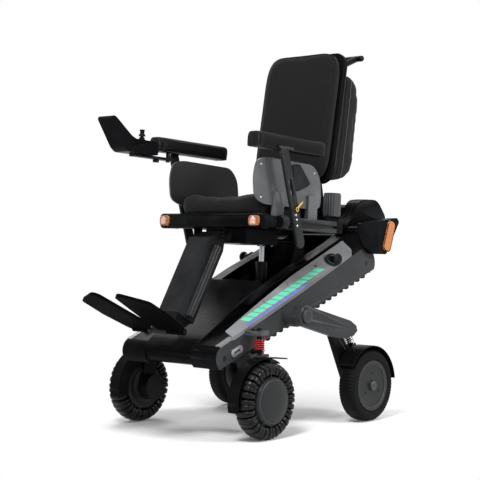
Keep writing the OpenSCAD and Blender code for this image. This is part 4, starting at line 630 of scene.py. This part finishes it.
# The piping goes round the back cushion's edge
edge_run = eased([(-164, -92, 100), (164, -92, 100), (164, -92, 574), (-164, -92, 574)], 40)
path = on_cloth(leaned(spaced(edge_run, PIPING_POINTS, True), BACK), back_pad, 0.6, True)
line = tube(spaced(path, PIPING_POINTS, True), 2.6, (0.02, 1.0, 0.1), closed=True)
skin("back_piping", line, "backrest", "cushion_fabric")

# An arm pad's section across and up from its plate's underside, which lies so high over the seat's origin
half_section = [(-14, 49.5), (-21.5, 43), (-24.8, 28), (-24.8, 1.5), (-22.5, -1.8)]
PAD_SECTION = spaced(eased(mirrored(half_section), 8), 56, True)
PAD_BASE = 241
# The room that a pad may swell into, as two corners from its arm's place
PAD_ROOM = (-26.5, -186, 238.6), (26.5, 153, 300)
# Stations along the pad and its front cap, as (along, scale of the section)
PAD_RUN = [(-185.4, 0), (-185.4, 0.5), (-185.4, 0.93), (-184.4, 0.985), (-181, 1.0)]
PAD_RUN += [(y, 1.0) for y in range(-176, 130, 5)]
PAD_RUN += [(135, 0.995), (140, 0.98), (144.5, 0.955), (147.5, 0.91), (148.6, 0.86), (148.6, 0.45),
            (148.6, 0)]
CAP_RUN = [(-210, 0), (-210, 0.84), (-208.5, 0.93), (-203, 0.985), (-196, 1.0), (-188.2, 1.0), (-187, 0.96),
           (-187, 0)]
# The pad's back end starts to lean here, over this length, by this share of its height
LEAN_FROM, LEAN_OVER, LEAN_SHARE = 100, 44, 0.12


def loft(stations, sign):
    """One section carried along an arm: at each station it shrinks about its middle by that scale; the back
    end leans so that its top reaches further back."""
    along, k = np.asarray(stations, float).T
    mid = PAD_SECTION.mean(0)
    flat = mid + k[:, None, None] * (PAD_SECTION - mid)[None]
    share = np.clip((along - LEAN_FROM) / LEAN_OVER, 0, 1)
    lean = share[:, None] * (flat[..., 1] - mid[1]) * LEAN_SHARE
    x, y, z = sign * ARM_X + flat[..., 0], ARM_BACK + along[:, None] + lean, PAD_BASE + flat[..., 1]
    points = leaned(np.stack([x, y, z], -1), SEAT)
    return points.reshape(-1, 3), grid_faces(len(along), len(PAD_SECTION), False, True)


for side, sign in SIDES:
    pad = quad_mesh(side + "_arm_pad_skin", *loft(PAD_RUN, sign))
    low, high = np.array(PAD_ROOM) + np.array([sign * ARM_X, ARM_BACK, 0])
    sewn(pad, side + "_arm_pad", side + "_armrest", "pad_leather", cap=1.5,
         hold=held(SEAT, low, high))
    skin(side + "_arm_pad_end", loft(CAP_RUN, sign), side + "_armrest", "knob_plastic")

# Coils keep their CAD helix, smoothed by subdivision, in place of the CAD coils
for side, sign in SIDES:
    for end, top in (("front", "chassis"), ("rear", side + "_rear_arm")):
        node = f"{side}_{end}_spring"
        coil = bpy.data.objects.new(node + "_wire", merged(node, node + "_wire"))
        scene.collection.objects.link(coil)
        coil.data.shade_smooth()
        smoothed(coil)
        coil.data.materials.append(FINISH[subparts[node]])
        points = coordinates(coil.data)
        low, high = points[points[:, 2].argmin()], points[points[:, 2].argmax()]
        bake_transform(coil)
        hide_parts(node)

# Wheels: the axles' height, the rear axle's place along, and the wheels' middles across
AXLE_UP, BASE = 125.0, 529.0
FRONT_X, REAR_X = 290.0, 307.0
# Rollers: pairs of a long and a short one, the radius of the ring they stand on, the oval section's half
# width and half height, and the points round it
PAIRS, RING_R, OVAL_X, OVAL_R, OVAL_POINTS = 12, 100.4, 34.0, 24.6, 40
# How square the oval is, and the slices along a roller
OVAL_POWER, SLICES = 0.8, 41
# Each roller of a pair as (middle, half its length, places of its grooves), in degrees round the axle
ROLLERS = ((0.0, 8.9, (0.0,)), (15.0, 5.7, ()))


def barrels(sign):
    """A ring of close-set rollers, long and short in turn: each is a slice of an oval ring, the section drawn
    in by a round groove on the long ones, with a thin gap to the next one and shut, rounded ends."""
    a = np.linspace(0, 2 * np.pi, OVAL_POINTS, endpoint=False)
    oval_x, oval_r = (np.sign(v) * np.abs(v) ** OVAL_POWER * size
                      for v, size in ((np.sin(a), OVAL_X), (np.cos(a), OVAL_R)))
    groove_deep, groove_wide, end_share, end_long = 0.1, 1.1, 0.45, 3.0
    rows, quads, start = [], [], 0
    for middle, half, grooves in ROLLERS:
        t = np.linspace(-half, half, SLICES)
        k = 1 - groove_deep * np.exp(-(((t[:, None] - np.array(grooves)) / groove_wide) ** 2)).sum(1)
        k *= np.sqrt(1 - end_share * np.clip((np.abs(t) - half + end_long) / end_long, 0, 1) ** 2)
        t, k = np.concatenate([t[:1], t, t[-1:]]), np.concatenate([[0], k, [0]])
        turn = np.radians(t[None] + middle + 360.0 / PAIRS * np.arange(PAIRS)[:, None])[..., None]
        out = RING_R + k[None, :, None] * oval_r
        x = np.broadcast_to(FRONT_X + k[None, :, None] * oval_x, (PAIRS, len(t), OVAL_POINTS))
        points = np.stack([x * sign, out * np.cos(turn), AXLE_UP + out * np.sin(turn)], -1)
        one = grid_faces(len(t), OVAL_POINTS, False, True)
        firsts = np.arange(PAIRS)[:, None, None] * len(t) * OVAL_POINTS
        rows.append(chair(points).reshape(-1, 3))
        quads.append((one[None] + start + firsts).reshape(-1, 4))
        start += len(rows[-1])
    return np.concatenate(rows), np.concatenate(quads)


# The rear tyre's section as (out, along) from its middle; its teeth and their depth; and where the notched
# shoulder lies, how wide it is and from which radius on
TYRE = [(88, -31), (113, -31), (122, -27), (125, -15), (125, 15), (122, 27), (113, 31), (88, 31)]
TEETH, TOOTH_DEEP = 66, 2.6
SHOULDER, SHOULDER_WIDE, SHOULDER_FROM = 24, 6.5, 112


def toothed_tyre(sign):
    """A tyre turned about its axle: a soft section whose shoulders are notched by a square wave of the
    angle."""
    out, along = spaced(eased(TYRE, 9), 84, True).T
    a = np.linspace(0, 2 * np.pi, TEETH * 6, endpoint=False)
    wave = np.clip(2.5 * np.cos(TEETH * a) + 0.6, 0, 1)
    edge = np.exp(-(((np.abs(along) - SHOULDER) / SHOULDER_WIDE) ** 2)) * (out > SHOULDER_FROM)
    r = out[:, None] - TOOTH_DEEP * edge[:, None] * wave[None]
    x = np.broadcast_to(sign * (REAR_X + along)[:, None], r.shape)
    points = chair(np.stack([x, BASE + r * np.cos(a), AXLE_UP + r * np.sin(a)], -1))
    return points.reshape(-1, 3), grid_faces(len(out), len(a), True, True)


# Parts turned about an axle, as (out, along) from the wheel's middle: the front hub's drum and stepped dome,
# and the rear hub's boss
HUB_DRUM = [(60, -33), (74, -33), (79, -28), (79, 28), (76, 34), (60, 34)]
HUB_DOME = [(72, 33), (72, 36), (70.3, 38), (66.5, 39.4), (64.6, 39.0), (62.8, 39.8), (55, 41.6), (38, 43.4),
            (19, 44.2), (0, 44.4)]
HUB_BOSS = [(15, 28), (15, 35.5), (13.5, 37), (9, 38), (0, 38.4)]
# Three rounded marks on the rear hub's face: their angles, radius and height along the axle
MARK_TURNS, MARK_R, MARK_X = (90.0, 210.0, 330.0), 45, 27


def hub_marks(sign):
    """Low rounded bars set round the rear hub, each across its own radius."""
    bar, quads = stacked(eased([(-7, -2), (7, -2), (7, 2), (-7, 2)], 2), [(0, 1), (0.7, 1), (1.0, 0.85)])
    a = np.radians(MARK_TURNS)[:, None]
    u, v, h = bar.T
    y = MARK_R * np.cos(a) - u * np.sin(a) + v * np.cos(a)
    z = MARK_R * np.sin(a) + u * np.cos(a) + v * np.sin(a)
    x = np.broadcast_to(sign * (REAR_X + MARK_X + h), y.shape)
    firsts = np.arange(len(MARK_TURNS))[:, None, None] * len(u)
    points = chair(np.stack([x, BASE + y, AXLE_UP + z], -1))
    return points.reshape(-1, 3), (quads[None] + firsts).reshape(-1, 4)


for side, sign in SIDES:
    out_x = (sign, 0, 0)
    front, rear = chair((sign * FRONT_X, 0, AXLE_UP)), chair((sign * REAR_X, BASE, AXLE_UP))
    front_body, rear_body = side + "_front_wheel", side + "_rear_wheel"
    skin(side + "_roller_barrels", barrels(sign), front_body, "roller_rubber", None,
         (side + "_front_rollers",), 50)
    skin(side + "_hub_drum", turned(HUB_DRUM, front, out_x, UP), front_body, "hub_plastic")
    skin(side + "_hub_dome", turned(HUB_DOME, front, out_x, UP), front_body, "hub_plastic", DOME)
    skin(side + "_toothed_tyre", toothed_tyre(sign), rear_body, "tyre_rubber", None,
         (side + "_rear_tyre",), 50)
    skin(side + "_hub_boss", turned(HUB_BOSS, rear, out_x, UP), rear_body, "motor_metal")
    skin(side + "_hub_marks", hub_marks(sign), rear_body, "knob_plastic")

# Film bars on the light covers: where a row starts, its pitch and each bar's width along the cover
BAR_START, BAR_PITCH, BAR_WIDTH = 80, 34, 28
# Each row as (end along, low and high across, slant)
MINT_ROW, PERIWINKLE_ROW = (520, -37, -15.5, 22), (420, -12.5, -3.5, 9)


def bars(sign, stop, low, high, slant):
    """A row of flat bars lying on the cover: each runs across it from low to high and leans along by the
    slant."""
    parts = []
    for start in np.arange(BAR_START, stop, BAR_PITCH):
        end = start + BAR_WIDTH
        flat = eased([(low, start), (low, end), (high, end + slant), (high, start + slant)], 3, 4)
        shape, quads = stacked(flat, [(0.05, 1), (0.35, 1), (0.45, 0.97)])
        parts.append((on_cover(shape, sign), quads))
    return several(parts)


# The cover's lip, turned down over the side plate: along the cover's lower edge and down from it
LIP = eased([(-12, -1), (-12, 5), (4, 10), (300, 9), (560, 6), (690, 2), (690, -1)], 6)


def cover_lip(sign):
    """The lip's outline hung from the cover's lower edge and given a thin plate's thickness."""
    shape, quads = stacked(spaced(LIP, 120, True), [(0.1, 1), (1.2, 1), (1.5, 0.998)])
    along, down, out = shape.T
    pitch = math.radians(COVER_PITCH)
    edge = on_cover(np.column_stack([np.zeros(len(along)), along, np.zeros(len(along))]), sign)
    drop = np.column_stack([sign * out, down * math.sin(pitch), -down * math.cos(pitch)]) * MM
    return edge + drop, quads


# A black foot over the cover's boss, and a knob that stands straight out of it, as (out, along)
KNOB_ACROSS, KNOB_ALONG, KNOB_LIFT = -25.2, 597.6, 9
COVER_BOOT = [(0, 13.2), (18, 13.2), (25, 12.6), (27, 10), (27.4, 0.4), (20, 0.4)]
COVER_KNOB = [(0, 30), (12, 29.6), (17, 28), (20, 24.5), (20.6, 20), (19.4, 16), (15, 14), (13, 12), (13, -6)]
for side, sign in SIDES:
    skin(side + "_cover_lip", cover_lip(sign), "chassis", "cover_plastic")
    skin(side + "_mint_bars", bars(sign, *MINT_ROW), "chassis", "cover_plastic", MINT)
    skin(side + "_periwinkle_bars", bars(sign, *PERIWINKLE_ROW), "chassis", "cover_plastic", PERIWINKLE)
    foot, off, ahead = on_cover([(KNOB_ACROSS, KNOB_ALONG, 0), (KNOB_ACROSS, KNOB_ALONG, 1),
                                 (KNOB_ACROSS, KNOB_ALONG + 1, 0)], sign)
    normal, ahead = (off - foot) / MM, (ahead - foot) / MM
    skin(side + "_cover_boot", turned(COVER_BOOT, foot, normal, ahead), "chassis", "knob_plastic")
    knob = turned(COVER_KNOB, foot + normal * KNOB_LIFT * MM, (sign, 0, 0), UP)
    skin(side + "_cover_knob", knob, "chassis", "knob_plastic")

# Tail: the hump's outline along and up, of which the seams follow the part above a height, at two places
# across
HUMP = eased([(606, 664.2), (618, 686), (662, 722), (700, 782), (814, 782), (866, 721), (868, 690),
              (858, 664.2)], 30)
SEAM_FROM, SEAM_POINTS, SEAM_X = 690, 90, (118.0, 134.0)
hump_top = HUMP[HUMP[:, 1] > SEAM_FROM]
hump_top = spaced(hump_top[np.argsort(hump_top[:, 0], kind="stable")], SEAM_POINTS)
# A gasket round each lens: the outline round its middle, how far it leans, and where it lies
RIM = eased([(-21.5, -57.5), (21.5, -57.5), (21.5, 57.5), (-21.5, 57.5)], 17)
RIM_LEAN = math.radians(-21)
RIM_X, RIM_Y, RIM_Z = 254.4, 752, 647
for side, sign in SIDES:
    seams = [tube(chair(np.column_stack([np.full(SEAM_POINTS, sign * x), hump_top])), 1.0, (1, 0, 0), 6)
             for x in SEAM_X]
    skin(side + "_tail_seams", several(seams), "chassis", "shell_plastic")
    y = RIM_Y + RIM[:, 0] * math.cos(RIM_LEAN) - RIM[:, 1] * math.sin(RIM_LEAN)
    z = RIM_Z + RIM[:, 0] * math.sin(RIM_LEAN) + RIM[:, 1] * math.cos(RIM_LEAN)
    path = spaced(np.column_stack([np.full(len(y), sign * RIM_X), y, z]), 120, True)
    skin(side + "_lens_rim", tube(chair(path), 1.8, (1, 0, 0), 8, True), "chassis", "shell_plastic")

# Seat trim, in the seat's frame: a marker's facetted core, with its place across and along
GEM = [(-10, -13), (10, -13), (12, 4), (0, 15), (-12, 4)]
GEM_X, GEM_Y = 205, -29.5
# The angular bracket on a side panel, and the screws round it, along and up at the panel's face
BRACKET = eased([(158, 199), (200, 207), (262, 143), (245, 131), (191, 112), (168, 117)], 7)
PANEL_X, PANEL_SCREWS = 196, ((8, 190), (16, 80), (292, 78), (296, 184))
# Bolts down the arm post, along and up at its outer face
POST_X, POST_BOLTS = 258, ((126.7, 27), (131.9, 12), (135.8, -8.3))
SCREW_HEAD = [(0, 2.4), (2.6, 2.2), (4.2, 1.2), (4.6, 0)]
# The round front end of a side bar, as (out, along) ahead of its place across and along
BAR_END = [(0, -1.2), (18.6, -1.2), (19.4, 0), (21, 0), (23, -2), (23.4, -5), (23.4, -28), (0, -28)]
BAR_END_X, BAR_END_Y = 247, 52
# Cooling ribs round a recline motor, apart from its two sides: middle across and along, radius, heights
RIB_X, RIB_Y, RIB_R, RIB_UP = 152, 463, 29.4, (49, 86, 123)
RIB_TURNS = np.radians([a for a in range(0, 360, 18) if min(a % 180, 180 - a % 180) > 24])
# A ring over the rear link's pivot, and the pivot's place in chair millimetres
LINK_RING = [(16, 7.4), (16, 8.6), (19, 9.6), (22, 9.0), (24.3, 7.4), (24.5, 2)]
PIVOT_X, PIVOT_Y, PIVOT_Z = 286, 218.28, 384.02


def screw_heads(sign, x, places):
    """Round heads that stand out sideways from a face of the seat's frame."""
    return several([turned(SCREW_HEAD, leaned((sign * x, y, z), SEAT), (sign, 0, 0), UP, 20)
                    for y, z in places])


for side, sign in SIDES:
    out_x = (sign, 0, 0)
    gem, quads = stacked(GEM, [(0, 1), (6, 0.96), (9, 0.55)])
    gem = np.stack([sign * GEM_X + gem[:, 0], GEM_Y - gem[:, 2], gem[:, 1]], -1)
    skin(side + "_marker_lens", (leaned(gem, SEAT), quads), "seat", "lamp_amber", CLEAR, crease=10)
    plate, quads = stacked(BRACKET, [(196.3, 1), (208, 0.98), (211, 0.93)])
    plate = np.stack([sign * plate[:, 2], plate[:, 0], plate[:, 1]], -1)
    skin(side + "_panel_bracket", (leaned(plate, SEAT), quads), "seat", "knob_plastic")
    skin(side + "_panel_screws", screw_heads(sign, PANEL_X, PANEL_SCREWS), "seat", "bright_steel")
    skin(side + "_post_bolts", screw_heads(sign, POST_X, POST_BOLTS), body_of[side + "_arm_post"],
         "bright_steel")
    stub, ahead = leaned([(sign * BAR_END_X, BAR_END_Y, 0), (sign * BAR_END_X, BAR_END_Y - 1, 0)], SEAT)
    skin(side + "_bar_end", turned(BAR_END, stub, (ahead - stub) / MM, UP), "seat", "knob_plastic")
    feet = [(sign * RIB_X + RIB_R * math.cos(a), RIB_Y + RIB_R * math.sin(a)) for a in RIB_TURNS]
    ribs = [tube(leaned([(x, y, z) for z in RIB_UP], SEAT), 2.2, (1, 0.3, 0), 8) for x, y in feet]
    skin(side + "_motor_ribs", several(ribs), "seat", "motor_metal")
    ring = turned(LINK_RING, chair((sign * PIVOT_X, PIVOT_Y, PIVOT_Z)), out_x, UP)
    skin(side + "_link_ring", ring, side + "_rear_arm", "rail_aluminium")

# Controller on the right arm: the pod's origin in the seat's frame, the middle of its face towards the user
# along and up from there, and that face's directions along it and off it
POD = np.array([-226.0, ARM_BACK - 140.0, 211.0])
FACE_MIDDLE = np.array([-248.0, 94.0])
FACE_ALONG, FACE_OFF = np.array([-76.0, 56.0]) / 94.4, np.array([56.0, 76.0]) / 94.4
# The stick's place along and up from the pod's origin
STICK_Y, STICK_Z = -130, 46
# The stick's boot: radius at the foot, how much it narrows, its ripple, and the heights of foot and rise
BOOT_R, BOOT_NARROWS, BOOT_RIPPLE, BOOT_FOOT, BOOT_RISE = 12.6, 7.6, 0.8, 8, 19


def controller_glass():
    """A thin dark pane with soft corners on the pod's face, in millimetres from the pod's origin."""
    pane = eased([(-26, -36), (26, -36), (26, 36), (-26, 36)], 6)
    glass, quads = stacked(pane, [(-0.3, 1), (0.5, 1), (0.8, 0.97)])
    flat = FACE_MIDDLE + glass[:, 1:2] * FACE_ALONG + glass[:, 2:3] * FACE_OFF
    return np.column_stack([glass[:, 0], flat]), quads


def stick_boot():
    """A rubber boot's profile: it narrows by a power of the height, with four ripples on the way."""
    t = np.linspace(0, 1, 40)
    out = BOOT_R - BOOT_NARROWS * t**2.2 + BOOT_RIPPLE * np.sin(t * 8 * np.pi)
    return np.column_stack([out, BOOT_FOOT + BOOT_RISE * t])


glass, quads = controller_glass()
skin("controller_glass", (leaned(glass + POD, SEAT), quads), "controller", "knob_plastic", SCREEN)
stick, above = leaned(np.array([(0, STICK_Y, STICK_Z), (0, STICK_Y, STICK_Z + 1)], float) + POD, SEAT)
boot = turned(stick_boot(), stick, (above - stick) / MM, (1, 0, 0), 48)
skin("stick_boot", boot, "joystick", "knob_plastic")

for node, obj in frame["nodes"].items():
    if not obj.hide_render:
        for place in obj.material_slots:
            place.material = FINISH[subparts[node]]

# Soft lamps as (name, place in metres, size in metres, watts), and the point they all face
LAMPS = (
    ("key_softbox", (0.9, -2.3, 3.3), 0.9, 105.0),
    ("fill_softbox", (3.2, 0.7, 2.0), 0.9, 62.0),
    ("back_softbox", (-2.3, 1.5, 3.0), 1.6, 48.0),
)
LAMP_AIM = (0, 0, 0.6)
# The surround's strength as a light and as seen
SURROUND_LIGHT, SURROUND_SEEN = 0.45, 1.0
# The floor's rings, and the distances between which it fades to white, in metres
FLOOR_RINGS, FLOOR_SIDES = (0.0, 0.6, 1.2, 2.0, 3.2, 6.0, 14.0), 96
FADE_FROM, FADE_TO = 0.3, 1.05
# The camera fitted to the photograph: place in metres from the front axle, pitch and heading in degrees
EYE_AT, EYE_PITCH, EYE_HEADING = (2.8563, -3.0434, 0.700), 89.15, 41.3
EYE_SENSOR, EYE_LENS = 36.0, 93.15


def seen(tree):
    """1 for rays that show a thing to the camera, straight, mirrored or through glass; 0 for its light."""
    rays = add(tree, "ShaderNodeLightPath")
    straight = maths(tree, "MAXIMUM", rays.outputs["Is Camera Ray"], rays.outputs["Is Glossy Ray"])
    return maths(tree, "MAXIMUM", straight, rays.outputs["Is Transmission Ray"])


def surround():
    """A white world that lights the part less than it shows."""
    world = bpy.data.worlds.new("white_surround")
    scene.world = world
    world.use_nodes = True
    tree = world.node_tree
    level = ranged(tree, seen(tree), 0.0, 1.0, SURROUND_LIGHT, SURROUND_SEEN)
    set_inputs(tree, tree.nodes["Background"], {"Strength": level, "Color": (1, 1, 1, 1)})


def paper_floor():
    """A pale round floor that takes the part's shadow and fades to white with distance."""
    radius = np.array(FLOOR_RINGS)
    a = np.linspace(0, 2 * np.pi, FLOOR_SIDES, endpoint=False)
    ring = np.stack([np.cos(a), np.sin(a), np.zeros_like(a)], -1)
    points = (radius[:, None, None] * ring[None]).reshape(-1, 3)
    mesh = bpy.data.meshes.new("floor")
    mesh.from_pydata(points.tolist(), [], grid_faces(len(radius), FLOOR_SIDES, False, True).tolist())
    floor = bpy.data.objects.new("floor", mesh)
    scene.collection.objects.link(floor)
    # Matt white paper, replaced by plain white light where the camera sees it far from the part
    paper, tree, shader, place = blank("white_paper_sweep")
    set_inputs(tree, shader, {"Base Color": linear("#fdfdfd"), "Roughness": 0.9, "Specular IOR Level": 0.0})
    far = add(tree, "ShaderNodeVectorMath", {0: place}, operation="LENGTH").outputs["Value"]
    fade = ranged(tree, far, FADE_FROM, FADE_TO, curve="SMOOTHSTEP")
    glow = add(tree, "ShaderNodeEmission", {"Color": (1, 1, 1, 1), "Strength": 1.0})
    mask = maths(tree, "MULTIPLY", fade, seen(tree))
    mix = add(tree, "ShaderNodeMixShader", {0: mask, 1: shader.outputs[0], 2: glow.outputs[0]})
    tree.links.new(mix.outputs[0], tree.nodes["Material Output"].inputs["Surface"])
    floor.data.materials.append(paper)


def studio():
    """The white surround, the floor, three soft lamps, and the camera at the photograph's view."""
    surround()
    paper_floor()
    for name, spot, size, watts in LAMPS:
        lamp = bpy.data.lights.new(name, "AREA")
        lamp.energy = watts
        lamp.size = size
        obj = bpy.data.objects.new(name, lamp)
        scene.collection.objects.link(obj)
        away = np.array(spot) - np.array(LAMP_AIM)
        flat = math.hypot(away[0], away[1])
        obj.location = spot
        obj.rotation_euler = (math.atan2(flat, away[2]), 0, math.atan2(away[1], away[0]) + math.pi / 2)

    eye = bpy.data.cameras.new("photo_view")
    eye.sensor_width, eye.lens = EYE_SENSOR, EYE_LENS
    camera = bpy.data.objects.new("photo_view", eye)
    scene.collection.objects.link(camera)
    camera.location = (EYE_AT[0], EYE_AT[1] + AXLE_Y, EYE_AT[2])
    camera.rotation_euler = (math.radians(EYE_PITCH), 0, math.radians(EYE_HEADING))
    scene.camera = camera
    scene.view_settings.view_transform = "Standard"


studio()
